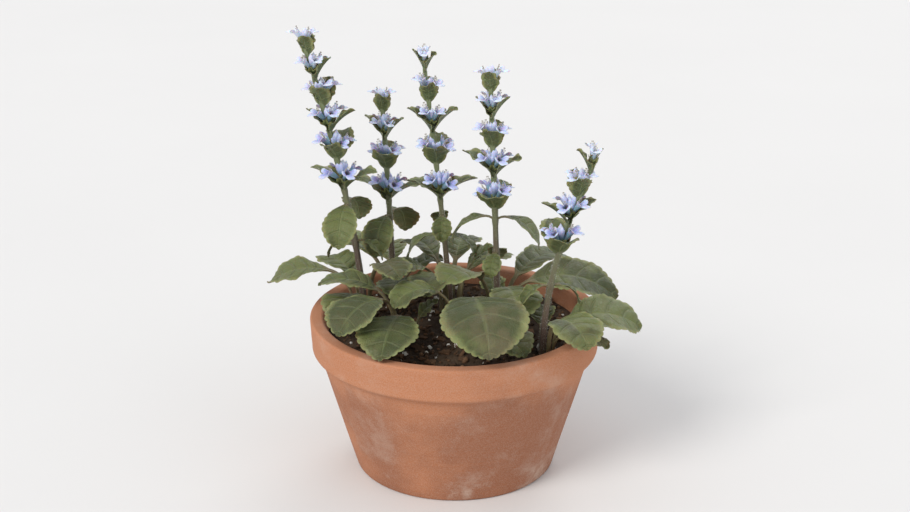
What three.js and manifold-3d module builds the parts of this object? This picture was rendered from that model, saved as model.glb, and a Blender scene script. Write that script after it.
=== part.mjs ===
// A potted bugleweed (Ajuga reptans): a plain clay pan, the soil in it, basal leaves that stand in the
// soil round seven crowns, and five flower spikes. A spike is one grown piece: its square stem, its
// paired leaves and bracts, and the two-lipped flowers in their axils.
// Units are millimetres. +Z is up, +Y points away from the viewer, and the origin is the middle of
// the pot's flat underside.
import * as THREE from "three";
import { mergeVertices } from "three/addons/utils/BufferGeometryUtils.js";
import Module from "manifold-3d";

const wasm = await Module();
wasm.setup();

const SIDES = 32; // round the pot and round the soil

// Pot: a turned clay pan with a banded rim and three drain holes.
const POT_HEIGHT = 104;
const RIM_RADIUS = 95;
const RIM_BAND = 23; // height of the band under the lip
const RIM_STEP = 4.5; // how far the band stands out from the wall
const RIM_DRAFT = 1; // how much the band and the wall's top narrow downwards
const BASE_RADIUS = 66;
const WALL = 7.5;
const FLOOR = 7;
const WORN = 2; // size of the worn edges
const DRAIN_RADIUS = 5;
const DRAIN_SIDES = 12;
const DRAIN_RING = 34; // distance of the drain holes from the pot's axis
const DRAIN_COUNT = 3;
const DRILL_LENGTH = 3 * FLOOR; // its middle is at the pot's underside, so it passes through the floor

// Soil: it fills the pot to just under the lip, a hair clear of the clay.
const SOIL_TOP = 95;
const SOIL_GAP = 0.35;
const SOIL_RINGS = 5;
const SOIL_MOUND = 2; // how far its middle stands over its edge
const SOIL_LUMP = 0.8; // height of its lumps, up or down

// Holes that stems and leaf stalks stand in.
const HOLE_GAP = 0.3;
const HOLE_SIDES = 6;

// Blades. A margin has round teeth with notches between them, and rises over the rib.
const EDGE_THICK = 0.8;
const RIB_THICK = 1.4;
const NOTCH = 0.15; // depth of the notches, as a share of the half width
const CUP = 0.1; // rise of the margin, as a share of the half width
const FLARE = 0.3; // share of a blade on which the stalk's section turns into the blade's
const OUTLINE_SPAN = [0.04, 0.97]; // stretch of the outline that a blade uses
const OUTLINE_LEAN = 1.3; // over 1, a blade is broadest past its middle
const OUTLINE_FULL = 0.7; // under 1, its two ends are round
const STALK_EDGE = 0.55; // thickness of a stalk at its sides, as a share of that at its middle
const WAVES = 1.3; // waves along a margin
const ROLLED = 0.6; // share of a leaf's length at which its roll is complete
const WALK = 0.5; // step of the walk along a midrib

// Kinds of leaf. neck and thick: half the width and the thickness of the stalk. sink: how deep its
// foot stands in what it grows from. bends: stations along the stalk. teeth: round teeth on a margin.
// wave: height of the margin's waves.
const BASAL = { neck: 1.7, thick: 2.4, sink: 8, bends: 3, teeth: 4, wave: 1.2 };
const CAULINE = { neck: 1.2, thick: 1.7, sink: 1.2, bends: 0, teeth: 3, wave: 0.6 };

// Crowns: where the plant's rosettes stand in the soil.
const CROWNS = [
  { x: -60, y: 12 },
  { x: -42, y: 44 },
  { x: -3, y: 26 },
  { x: 28, y: 0 },
  { x: 55, y: -46 },
  { x: -32, y: -22 },
  { x: 8, y: -30 },
];
const CROWN_RADIUS = 7; // how far a leaf stands from the middle of its crown

// Basal leaves. heading: the way a leaf points, in degrees from +X towards +Y, and veer how far it
// turns on the way. stalk, blade, width: its sizes. rise, tip: its pitch where the blade begins and
// at its tip. roll: tilt of the blade about its rib.
const LEAVES = [
  { crown: 0, heading: 186, veer: -8, stalk: 40, blade: 44, width: 27, rise: 18, tip: -42, roll: 8 },
  { crown: 0, heading: 300, veer: 0, stalk: 48, blade: 32, width: 28, rise: 36, tip: -34, roll: 0 },
  { crown: 0, heading: 120, veer: 10, stalk: 25, blade: 42, width: 26, rise: 40, tip: -30, roll: 0 },
  { crown: 0, heading: 250, veer: 0, stalk: 24, blade: 38, width: 26, rise: 30, tip: -40, roll: 0 },
  { crown: 1, heading: 94, veer: 10, stalk: 24, blade: 42, width: 26, rise: 30, tip: -30, roll: 0 },
  { crown: 1, heading: 150, veer: 0, stalk: 30, blade: 42, width: 24, rise: 44, tip: -16, roll: 0 },
  { crown: 1, heading: 275, veer: 0, stalk: 22, blade: 38, width: 26, rise: 30, tip: -30, roll: 0 },
  { crown: 1, heading: 30, veer: 0, stalk: 20, blade: 28, width: 22, rise: 40, tip: -20, roll: 0 },
  { crown: 2, heading: 122, veer: 0, stalk: 34, blade: 42, width: 26, rise: 34, tip: -30, roll: 0 },
  { crown: 2, heading: 79, veer: 0, stalk: 32, blade: 44, width: 28, rise: 36, tip: -30, roll: 0 },
  { crown: 2, heading: 208, veer: 0, stalk: 34, blade: 36, width: 26, rise: 40, tip: -40, roll: 0 },
  { crown: 2, heading: 5, veer: 0, stalk: 32, blade: 22, width: 18, rise: 60, tip: 10, roll: 0 },
  { crown: 3, heading: 0, veer: -6, stalk: 34, blade: 64, width: 38, rise: 27, tip: -46, roll: -16 },
  { crown: 3, heading: 44, veer: 0, stalk: 32, blade: 50, width: 32, rise: 36, tip: -28, roll: 0 },
  { crown: 3, heading: 284, veer: 0, stalk: 40, blade: 35, width: 34, rise: 20, tip: -56, roll: 0 },
  { crown: 3, heading: 225, veer: 0, stalk: 38, blade: 40, width: 32, rise: 50, tip: -30, roll: 0 },
  { crown: 4, heading: 10, veer: 2, stalk: 22, blade: 54, width: 38, rise: 26, tip: -44, roll: -16 },
  { crown: 4, heading: 300, veer: 0, stalk: 28, blade: 40, width: 36, rise: 40, tip: -58, roll: 0 },
  { crown: 4, heading: 338, veer: 0, stalk: 15, blade: 32, width: 22, rise: 20, tip: -30, roll: 0 },
  { crown: 5, heading: 226, veer: 8, stalk: 38, blade: 46, width: 36, rise: 20, tip: -50, roll: 0 },
  { crown: 5, heading: 258, veer: 0, stalk: 26, blade: 50, width: 39, rise: 16, tip: -42, roll: 0 },
  { crown: 5, heading: 176, veer: 0, stalk: 34, blade: 42, width: 28, rise: 40, tip: -30, roll: 0 },
  { crown: 6, heading: 194, veer: 4, stalk: 40, blade: 34, width: 34, rise: 34, tip: -60, roll: 0 },
  { crown: 6, heading: 278, veer: 4, stalk: 46, blade: 58, width: 54, rise: 22, tip: -70, roll: 0 },
  { crown: 6, heading: 314, veer: -6, stalk: 19, blade: 42, width: 30, rise: 16, tip: -40, roll: 0 },
  { crown: 2, heading: 250, veer: 0, stalk: 30, blade: 40, width: 30, rise: 40, tip: -36, roll: 0 },
  { crown: 2, heading: 42, veer: 0, stalk: 27, blade: 42, width: 28, rise: 34, tip: -30, roll: 0 },
  { crown: 5, heading: 20, veer: 0, stalk: 12, blade: 18, width: 15, rise: 62, tip: 20, roll: 0 },
  { crown: 6, heading: 60, veer: 0, stalk: 12, blade: 18, width: 15, rise: 64, tip: 24, roll: 0 },
  { crown: 3, heading: 100, veer: 0, stalk: 14, blade: 22, width: 17, rise: 60, tip: 10, roll: 0 },
  { crown: 4, heading: 90, veer: 0, stalk: 14, blade: 22, width: 18, rise: 54, tip: -10, roll: 0 },
];

// Flower spikes. lean: how far the top stands from over the foot. bend: how late the stem leans.
// height: over the soil. turn: heading of the lowest pair. pairs: height and length of the pairs of
// stem leaves. low, whorls: height of the lowest whorl of flowers, and how many whorls there are.
const SPIKES = [
  {
    crown: 0, lean: [-34, -6], bend: 1.5, height: 186, turn: -15, low: 90, whorls: 6,
    pairs: [{ at: 54, length: 25 }, { at: 79, length: 40 }],
  },
  {
    crown: 1, lean: [-6, 4], bend: 1.4, height: 138, turn: 78, low: 71, whorls: 4,
    pairs: [{ at: 60, length: 44 }],
  },
  {
    crown: 2, lean: [-17, 2], bend: 1.2, height: 170, turn: 0, low: 78, whorls: 5,
    pairs: [{ at: 52, length: 32 }, { at: 66, length: 24 }],
  },
  {
    crown: 3, lean: [-6, -2], bend: 1.3, height: 164, turn: 76, low: 80, whorls: 5,
    pairs: [{ at: 50, length: 22 }, { at: 73, length: 40 }],
  },
  {
    crown: 4, lean: [30, 2], bend: 1.9, height: 125, turn: 10, low: 66, whorls: 4,
    pairs: [{ at: 44, length: 28 }],
  },
];
const STEM_DEPTH = 14; // how deep a stem stands in the soil
const STEM_FOOT = 2.1; // half the square stem's width at the soil
const STEM_HEAD = 0.9; // and at its top
const STEM_BENDS = [0, 0.33, 0.66]; // where it bends, as shares of its length under the whorls
const TOP_CLEAR = 7; // from the highest whorl to the height of the spike
const WHORL_CLOSING = 0.92; // under 1, the whorls stand closer towards the top
const KNOT = [-2, 1.5, 6]; // start, fullest part and end of a whorl's knot of calyxes, from its bracts
const KNOT_HALVES = [3.1, 1.9]; // half the width of the lowest knot and of the highest

// Stem leaves: their pitch at the stem, where the blade begins and at the tip, and their outline.
const PAIR_PITCHES = [36, 0, -86];
const PAIR_STALK = 0.16; // share of a leaf's length
const PAIR_BROAD = 0.52; // width, as a share of the length
const PAIR_UNEVEN = { size: 0.1, heading: 8, veer: 10 };

// Bracts: leafy blades that each hold two flowers, or one near the top of a spike.
const BRACT_SIZES = [28, 16]; // length of the lowest bracts and of the highest
const BRACT_PITCHES = [54, 74]; // pitch of the lowest bracts and of the highest, at their root
const BRACT_FALLS = [46, 24]; // how far their pitch falls on the way to their tip
const BRACT_BROAD = 0.66; // width, as a share of the length
const BRACT_HALF_THICK = 0.6;
const BRACT_CUP = 0.3; // rise of its margins, as a share of its half width
const BRACT_STATIONS = [0.34, 0.6, 0.84]; // along a bract, as shares of its length
const BRACT_WIDTHS = [0.9, 1, 0.66]; // width there, as a share of the fullest
const BRACT_UNEVEN = 0.08;

const FLOWER_SIZES = [17.5, 14.5]; // length of the lowest flowers and of the highest
const FLOWER_PITCHES = [50, 66]; // pitch of the lowest flowers and of the highest
const FLOWER_SWING = 50; // a flower's heading, to either side of its bract's
const LONE_SWING = 90; // and that of a flower that has no twin
const LONE_FROM = 0.9; // past this share of the whorls, a bract has one flower
const FLOWER_RISE = 4.5; // from a bract's root to its flowers' feet
const FLOWER_UNEVEN = { size: 0.08, pitch: 8 };

// A flower's outline, as shares of its length: reach along it and radius of its throat, how far its
// gullet is from its foot, and the radius and reach of six points round its mouth, from the middle
// lobe of the lower lip round past a side lobe to the short upper lip.
const THROAT = { reach: 0.7, radius: 0.12 };
const GULLET = 0.64;
const LIP_ANGLES = [0, 38, 76, 180, 284, 322];
const LIP_RADII = [0.46, 0.24, 0.38, 0.2, 0.38, 0.24];
const LIP_REACHES = [0.96, 0.9, 1.0, 1.02, 1.0, 0.9];

const COLOURS = { clay: "#b5714e", soil: "#3b2d22", leaf: "#74794f", spike: "#8d96a0" };

// Repeatable draws: how the numbers are spread, and how far apart each kind of piece starts.
const SPREAD = { step: 12.9898, start: 4.1414, fold: 43758.5453 };
const PAIR_SEEDS = { spike: 100, pair: 10, heading: 0.5, veer: 0.7 };
const WHORL_SEEDS = { spike: 1000, whorl: 37 };

const rad = THREE.MathUtils.degToRad;
const mix = THREE.MathUtils.lerp;
const ease = THREE.MathUtils.smoothstep;

// Repeatable draw between 0 and 1, so that the plant is uneven in the same way each time.
function draw(number) {
  const wild = Math.sin(number * SPREAD.step + SPREAD.start) * SPREAD.fold;
  return wild - Math.floor(wild);
}

// Repeatable draw between -amount and amount.
function vary(amount, number) {
  return amount * (2 * draw(number) - 1);
}

// A closed geometry as a solid.
function solidOf(geometry) {
  const bare = geometry.index ? geometry.toNonIndexed() : geometry.clone();
  bare.deleteAttribute("normal");
  bare.deleteAttribute("uv");
  const merged = mergeVertices(bare);
  return new wasm.Manifold(
    new wasm.Mesh({
      numProp: 3,
      vertProperties: merged.attributes.position.array,
      triVerts: new Uint32Array(merged.index.array),
    }),
  );
}

// A solid as a geometry.
function geometryOf(solid) {
  const mesh = solid.getMesh();
  const geometry = new THREE.BufferGeometry();
  geometry.setAttribute("position", new THREE.BufferAttribute(mesh.vertProperties, mesh.numProp));
  geometry.setIndex(new THREE.BufferAttribute(mesh.triVerts, 1));
  return geometry;
}

// Skins a row of rings, each with the same number of points, and closes both ends. An end may be a
// single point. The sides listed in turned are split along their other diagonal, which splits the
// two faces of a blade alike.
function loft(rings, turned = []) {
  const starts = [];
  const points = [];
  for (const ring of rings) {
    starts.push(points.length);
    points.push(...ring);
  }
  const faces = [];
  for (let i = 0; i + 1 < rings.length; i++) {
    const [here, there] = [rings[i].length, rings[i + 1].length];
    for (let j = 0; j < Math.max(here, there); j++) {
      const [a, b] = [starts[i] + (j % here), starts[i] + ((j + 1) % here)];
      const [c, d] = [starts[i + 1] + ((j + 1) % there), starts[i + 1] + (j % there)];
      if (here === 1) faces.push([a, c, d]);
      else if (there === 1) faces.push([a, b, c]);
      else if (turned.includes(j)) faces.push([a, b, d], [b, c, d]);
      else faces.push([a, b, c], [a, c, d]);
    }
  }
  const last = starts.at(-1);
  for (let j = 1; j + 1 < rings[0].length; j++) faces.push([0, j + 1, j]);
  for (let j = 1; j + 1 < rings.at(-1).length; j++) faces.push([last, last + j, last + j + 1]);
  const geometry = new THREE.BufferGeometry().setFromPoints(points);
  geometry.setIndex(faces.flat());
  return geometry;
}

// Unit vector at a heading and a pitch over the horizontal.
function direction(heading, pitch) {
  return new THREE.Vector3(
    Math.cos(rad(pitch)) * Math.cos(rad(heading)),
    Math.cos(rad(pitch)) * Math.sin(rad(heading)),
    Math.sin(rad(pitch)),
  );
}

// Walks along a midrib from its root, and gives the place and the blade's own axes at each station.
// pitches: at the root, where the blade begins, and at the tip. A stalk keeps its first pitch longest.
function midrib(root, leaf, pitches, stations) {
  const length = leaf.stalk + leaf.blade;
  const headingAt = (s) => leaf.heading + leaf.veer * (s / length);
  const pitchAt = (s) =>
    s < leaf.stalk
      ? mix(pitches[0], pitches[1], (s / leaf.stalk) ** 2)
      : mix(pitches[1], pitches[2], (s - leaf.stalk) / leaf.blade);
  const place = root.clone();
  let walked = 0;
  return stations.map((station) => {
    while (walked < station) {
      const step = Math.min(WALK, station - walked);
      const middle = walked + step / 2;
      place.addScaledVector(direction(headingAt(middle), pitchAt(middle)), step);
      walked += step;
    }
    const along = direction(headingAt(station), pitchAt(station));
    const side = direction(headingAt(station) - 90, 0);
    side.applyAxisAngle(along, rad(-leaf.roll * ease(station, 0, length * ROLLED)));
    const up = new THREE.Vector3().crossVectors(side, along).normalize();
    return { place: place.clone(), along, side, up };
  });
}

// A point beside a midrib and over it.
function offset(frame, across, over) {
  return frame.place.clone().addScaledVector(frame.side, across).addScaledVector(frame.up, over);
}

// A blade's half width at t, from 0 where it begins to 1 at its tip, as a share of the fullest:
// broadest past the middle, round at the tip and drawn out into the stalk.
function outline(t) {
  return Math.sin(Math.PI * t ** OUTLINE_LEAN) ** OUTLINE_FULL;
}

// A blade on its stalk. Each ring has the left margin, the rib and the right margin on the upper
// face, and then the same from right to left on the lower face.
function bladeSolid(root, leaf, pitches, kind, number) {
  const steps = kind.teeth * 2;
  const stations = [];
  for (let i = 0; i < kind.bends; i++) stations.push((leaf.stalk * i) / kind.bends);
  for (let i = 0; i <= steps; i++) stations.push(leaf.stalk + (leaf.blade * i) / steps);
  const frames = midrib(root, leaf, pitches, stations);
  const foot = { ...frames[0], place: root.clone().addScaledVector(frames[0].along, -kind.sink) };
  const rings = [foot, ...frames].map((frame, i) => {
    const t = i === 0 ? 0 : Math.max(0, (stations[i - 1] - leaf.stalk) / leaf.blade);
    const flat = ease(t, 0, FLARE); // 0 on the stalk and 1 on the blade
    const notch = (frames.length - i) % 2 ? NOTCH * flat : 0;
    const full = (leaf.width / 2) * outline(mix(...OUTLINE_SPAN, t)) * (1 - notch);
    const half = t > 0 ? Math.max(kind.neck, full) : kind.neck;
    const rib = mix(kind.thick, RIB_THICK, flat) / 2;
    const edge = mix(kind.thick * STALK_EDGE, EDGE_THICK, flat) / 2;
    const wave = kind.wave * flat * Math.sin(2 * Math.PI * (WAVES * t + draw(number)));
    const lift = half * CUP * flat;
    return [
      offset(frame, -half, lift + wave + edge),
      offset(frame, 0, rib),
      offset(frame, half, lift - wave + edge),
      offset(frame, half, lift - wave - edge),
      offset(frame, 0, -rib),
      offset(frame, -half, lift + wave - edge),
    ];
  });
  return solidOf(loft(rings, [0, 3]));
}

// A bract: a small hollowed blade that is thick at its rib and thin at its margins.
function bractSolid(root, bract, pitches) {
  const stations = BRACT_STATIONS.map((share) => share * bract.blade);
  const rings = midrib(root, bract, pitches, stations).map((frame, i) => {
    const half = (bract.width / 2) * BRACT_WIDTHS[i];
    return [
      offset(frame, -half, half * BRACT_CUP),
      offset(frame, 0, BRACT_HALF_THICK),
      offset(frame, half, half * BRACT_CUP),
      offset(frame, 0, -BRACT_HALF_THICK),
    ];
  });
  const [tip] = midrib(root, bract, pitches, [bract.blade]);
  return solidOf(loft([[root], ...rings, [tip.place]], [0, 2]));
}

// A two-lipped flower: a slender tube that widens to its throat, and a mouth that spreads in three
// lower lobes and a short upper lip.
function flowerSolid(foot, heading, pitch, length) {
  const along = direction(heading, pitch);
  const side = direction(heading - 90, 0);
  const down = new THREE.Vector3().crossVectors(along, side);
  const ring = (radii, reaches) =>
    LIP_ANGLES.map((angle, j) =>
      foot
        .clone()
        .addScaledVector(along, reaches[j] * length)
        .addScaledVector(down, Math.cos(rad(angle)) * radii[j] * length)
        .addScaledVector(side, -Math.sin(rad(angle)) * radii[j] * length),
    );
  const throat = ring(
    LIP_ANGLES.map(() => THROAT.radius),
    LIP_ANGLES.map(() => THROAT.reach),
  );
  const gullet = foot.clone().addScaledVector(along, GULLET * length);
  return solidOf(loft([[foot], throat, ring(LIP_RADII, LIP_REACHES), [gullet]]));
}

// Middle of a spike's stem at a height over the soil. Under the soil it stands upright.
function stemPlace(spike, height) {
  const { x, y } = CROWNS[spike.crown];
  const share = Math.max(0, height / spike.height) ** spike.bend;
  return new THREE.Vector3(x + spike.lean[0] * share, y + spike.lean[1] * share, SOIL_TOP + height);
}

// Half the width of a spike's stem at a height over the soil.
function stemHalf(spike, height) {
  return mix(STEM_FOOT, STEM_HEAD, Math.max(0, height / spike.height));
}

// How far up its spike's row of whorls a whorl is, from 0 to 1.
function whorlShare(spike, index) {
  return index / (spike.whorls - 1);
}

// Height of a whorl of flowers over the soil.
function whorlHeight(spike, index) {
  return mix(spike.low, spike.height - TOP_CLEAR, whorlShare(spike, index) ** WHORL_CLOSING);
}

// The square stem, with its corners turned as the pairs are. At each whorl it carries a knot of
// green calyxes, which the bracts and the flowers stand in.
function stemSolid(spike) {
  const slices = [-STEM_DEPTH, ...STEM_BENDS.map((share) => share * spike.low)].map((height) => ({
    height,
    half: stemHalf(spike, height),
  }));
  for (let i = 0; i < spike.whorls; i++) {
    const root = whorlHeight(spike, i);
    const slim = stemHalf(spike, root);
    const full = mix(...KNOT_HALVES, whorlShare(spike, i));
    slices.push({ height: root + KNOT[0], half: slim });
    slices.push({ height: root + KNOT[1], half: full });
    slices.push({ height: root + KNOT[2], half: slim });
  }
  const rings = slices.map(({ height, half }) =>
    [45, 135, 225, 315].map((corner) => {
      const reach = direction(spike.turn + corner, 0).multiplyScalar(half * Math.SQRT2);
      return stemPlace(spike, height).add(reach);
    }),
  );
  return solidOf(loft(rings));
}

// A pair of leaves on opposite sides of the stem.
function pairSolids(spike, pair, heading, number) {
  return [0, 180].map((half, i) => {
    const length = pair.length * (1 + vary(PAIR_UNEVEN.size, number + i));
    const leaf = {
      heading: heading + half + vary(PAIR_UNEVEN.heading, number + i + PAIR_SEEDS.heading),
      veer: vary(PAIR_UNEVEN.veer, number + i + PAIR_SEEDS.veer),
      stalk: length * PAIR_STALK,
      blade: length * (1 - PAIR_STALK),
      width: length * PAIR_BROAD,
      roll: 0,
    };
    return bladeSolid(stemPlace(spike, pair.at), leaf, PAIR_PITCHES, CAULINE, number + i);
  });
}

// A whorl: two bracts on opposite sides of the stem, and the flowers in their axils.
function whorlSolids(spike, index, number) {
  const share = whorlShare(spike, index);
  const height = whorlHeight(spike, index);
  const root = stemPlace(spike, height);
  const foot = stemPlace(spike, height + FLOWER_RISE);
  const swings = share < LONE_FROM ? [-FLOWER_SWING, FLOWER_SWING] : [LONE_SWING];
  const steep = mix(...BRACT_PITCHES, share);
  const pitches = [steep, steep, steep - mix(...BRACT_FALLS, share)];
  const solids = [];
  for (const half of [0, 180]) {
    const seed = number + half;
    const heading = spike.turn + 90 * (index + spike.pairs.length) + half;
    const length = mix(...BRACT_SIZES, share) * (1 + vary(BRACT_UNEVEN, seed));
    const bract = { heading, veer: 0, stalk: 0, blade: length, width: length * BRACT_BROAD, roll: 0 };
    solids.push(bractSolid(root, bract, pitches));
    for (const swing of swings) {
      const size = mix(...FLOWER_SIZES, share) * (1 + vary(FLOWER_UNEVEN.size, seed + swing));
      const pitch = mix(...FLOWER_PITCHES, share) + vary(FLOWER_UNEVEN.pitch, seed + swing + 1);
      solids.push(flowerSolid(foot, heading + swing, pitch, size));
    }
  }
  return solids;
}

function spikeSolid(spike, number) {
  const solids = [stemSolid(spike)];
  spike.pairs.forEach((pair, i) => {
    const seed = number * PAIR_SEEDS.spike + i * PAIR_SEEDS.pair;
    solids.push(...pairSolids(spike, pair, spike.turn + 90 * i, seed));
  });
  for (let i = 0; i < spike.whorls; i++) {
    solids.push(...whorlSolids(spike, i, number * WHORL_SEEDS.spike + i * WHORL_SEEDS.whorl));
  }
  return solids.reduce((whole, solid) => whole.add(solid));
}

// Where a basal leaf comes out of the soil.
function leafRoot(leaf) {
  const { x, y } = CROWNS[leaf.crown];
  return new THREE.Vector3(x, y, SOIL_TOP).addScaledVector(direction(leaf.heading, 0), CROWN_RADIUS);
}

// Inner radius of the pot at a height.
function innerRadius(z) {
  const lip = RIM_RADIUS - WALL - RIM_DRAFT;
  return mix(BASE_RADIUS - WALL, lip, (z - FLOOR) / (POT_HEIGHT - FLOOR));
}

function potSolid() {
  const bandFoot = POT_HEIGHT - RIM_BAND;
  const wallTop = RIM_RADIUS - RIM_STEP - RIM_DRAFT;
  const profile = [
    [0, 0],
    [BASE_RADIUS - WORN, 0],
    [BASE_RADIUS, WORN],
    [wallTop, bandFoot - WORN],
    [wallTop + RIM_STEP - WORN, bandFoot],
    [RIM_RADIUS - RIM_DRAFT, bandFoot + WORN],
    [RIM_RADIUS, POT_HEIGHT - WORN],
    [RIM_RADIUS - WORN, POT_HEIGHT],
    [innerRadius(POT_HEIGHT) + WORN, POT_HEIGHT],
    [innerRadius(POT_HEIGHT - WORN), POT_HEIGHT - WORN],
    [innerRadius(FLOOR), FLOOR],
    [0, FLOOR],
  ].map(([radius, z]) => new THREE.Vector2(radius, z));
  let pot = solidOf(new THREE.LatheGeometry(profile, SIDES).rotateX(Math.PI / 2));
  for (let i = 0; i < DRAIN_COUNT; i++) {
    const drill = new THREE.CylinderGeometry(DRAIN_RADIUS, DRAIN_RADIUS, DRILL_LENGTH, DRAIN_SIDES);
    const { x, y } = direction((360 * i) / DRAIN_COUNT + 90, 0).multiplyScalar(DRAIN_RING);
    pot = pot.subtract(solidOf(drill.rotateX(Math.PI / 2).translate(x, y, 0)));
  }
  return pot;
}

// The upright hole that a stalk or a stem stands in. reach: from its middle to its corners.
function holeSolid(x, y, reach, depth) {
  const radius = (reach + HOLE_GAP) / Math.cos(Math.PI / HOLE_SIDES);
  const hole = new THREE.CylinderGeometry(radius, radius, 2 * (depth + HOLE_GAP), HOLE_SIDES);
  return solidOf(hole.rotateX(Math.PI / 2).translate(x, y, SOIL_TOP));
}

function soilSolid() {
  const circle = (radius, heightAt) =>
    Array.from({ length: SIDES }, (_, j) => {
      const angle = (2 * Math.PI * j) / SIDES;
      return new THREE.Vector3(radius * Math.cos(angle), radius * Math.sin(angle), heightAt(j));
    });
  const floor = FLOOR + SOIL_GAP;
  const brink = SOIL_TOP - SOIL_MOUND;
  const edge = innerRadius(brink) - SOIL_GAP;
  const rings = [
    [new THREE.Vector3(0, 0, floor)],
    circle(innerRadius(floor) - SOIL_GAP, () => floor),
    circle(edge, () => brink),
  ];
  for (let i = SOIL_RINGS - 1; i > 0; i--) {
    const mound = brink + SOIL_MOUND * (1 - (i / SOIL_RINGS) ** 2);
    rings.push(circle((edge * i) / SOIL_RINGS, (j) => mound + vary(SOIL_LUMP, i * SIDES + j)));
  }
  rings.push([new THREE.Vector3(0, 0, SOIL_TOP)]);
  let soil = solidOf(loft(rings));
  const stalkReach = Math.hypot(BASAL.neck, (BASAL.thick * STALK_EDGE) / 2);
  for (const leaf of LEAVES) {
    const root = leafRoot(leaf);
    soil = soil.subtract(holeSolid(root.x, root.y, stalkReach, BASAL.sink));
  }
  for (const spike of SPIKES) {
    const { x, y } = CROWNS[spike.crown];
    soil = soil.subtract(holeSolid(x, y, STEM_FOOT * Math.SQRT2, STEM_DEPTH));
  }
  return soil;
}

const plant = new THREE.Group();

function addPiece(name, solid, color, roughness) {
  const material = new THREE.MeshStandardMaterial({ color, roughness, metalness: 0 });
  const mesh = new THREE.Mesh(geometryOf(solid), material);
  mesh.name = name;
  plant.add(mesh);
}

addPiece("pot", potSolid(), COLOURS.clay, 0.85);
addPiece("soil", soilSolid(), COLOURS.soil, 0.95);
LEAVES.forEach((leaf, i) => {
  const name = "leaf_" + String(i + 1).padStart(2, "0");
  addPiece(name, bladeSolid(leafRoot(leaf), leaf, [90, leaf.rise, leaf.tip], BASAL, i), COLOURS.leaf, 0.6);
});
SPIKES.forEach((spike, i) => {
  addPiece("flower_spike_" + (i + 1), spikeSolid(spike, i + 1), COLOURS.spike, 0.6);
});

export default plant;
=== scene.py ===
"""A potted bugleweed in bloom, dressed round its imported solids.

Lengths are metres and angles are degrees. +Z is up and +Y points away from the viewer. The tables of
crowns, leaves and spikes are the solids' own, so each fine piece lies where its solid lies.
"""

import math
import random
from bisect import bisect_left
from types import SimpleNamespace
from typing import NamedTuple

import bmesh
import bpy
from bpy.props import FloatProperty, FloatVectorProperty, IntProperty, PointerProperty
from mathutils import Matrix, Quaternion, Vector, noise


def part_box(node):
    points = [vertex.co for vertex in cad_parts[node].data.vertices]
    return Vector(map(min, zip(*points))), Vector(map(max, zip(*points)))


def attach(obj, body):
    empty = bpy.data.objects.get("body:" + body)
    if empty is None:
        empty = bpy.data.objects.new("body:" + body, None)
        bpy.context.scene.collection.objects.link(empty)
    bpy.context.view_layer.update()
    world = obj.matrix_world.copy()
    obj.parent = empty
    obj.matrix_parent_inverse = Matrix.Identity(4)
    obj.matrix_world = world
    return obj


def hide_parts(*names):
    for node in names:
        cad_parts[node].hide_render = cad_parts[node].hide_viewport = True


bl_info = {
    "name": "Potted bugleweed",
    "version": (1, 0, 0),
    "blender": (4, 5, 0),
    "location": "3D View > Sidebar > Bugleweed",
    "description": "Builds a bugleweed in bloom, with its clay pan and its potting mix",
    "category": "Add Mesh",
}

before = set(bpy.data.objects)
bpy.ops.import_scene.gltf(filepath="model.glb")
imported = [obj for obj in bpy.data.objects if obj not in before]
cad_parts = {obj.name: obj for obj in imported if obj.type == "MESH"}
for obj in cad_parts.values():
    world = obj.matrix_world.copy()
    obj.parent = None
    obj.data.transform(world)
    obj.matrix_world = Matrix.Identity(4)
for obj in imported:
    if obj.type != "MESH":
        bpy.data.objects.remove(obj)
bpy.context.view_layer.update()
POT_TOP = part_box("pot")[1]  # its highest corner: the rim's radius and the pot's height

WELD = 2e-6  # vertices closer than this are one

# The pot's wall and floor, and the potting mix in it.
WALL = 0.0075
FLOOR = 0.007
BASE_RADIUS = 0.066
RIM_BAND = 0.023
RIM_STEP = 0.0045
RIM_DRAFT = 0.001
DRAIN_RING = 0.034
DRAIN_COUNT = 3
SOIL_TOP = 0.095
SOIL_MOUND = 0.002
SOIL_GAP = 0.00035
SOIL_LUMPS = ((0.65, 0.012, 0.0), (0.45, 0.0038, 0.3))  # how much of the relief, how wide, and a seed

# Where the plant's rosettes stand in the soil.
CROWNS = [
    (-0.060, 0.012),
    (-0.042, 0.044),
    (-0.003, 0.026),
    (0.028, 0.000),
    (0.055, -0.046),
    (-0.032, -0.022),
    (0.008, -0.030),
]
CROWN_RADIUS = 0.007


class Leaf(NamedTuple):
    """A basal leaf: its crown, the way it points and how far it turns, its sizes, its pitch where the
    blade begins and at its tip, and the tilt of the blade about its rib."""

    crown: int
    heading: float
    veer: float
    stalk: float
    blade: float
    width: float
    rise: float
    tip: float
    roll: float


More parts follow.
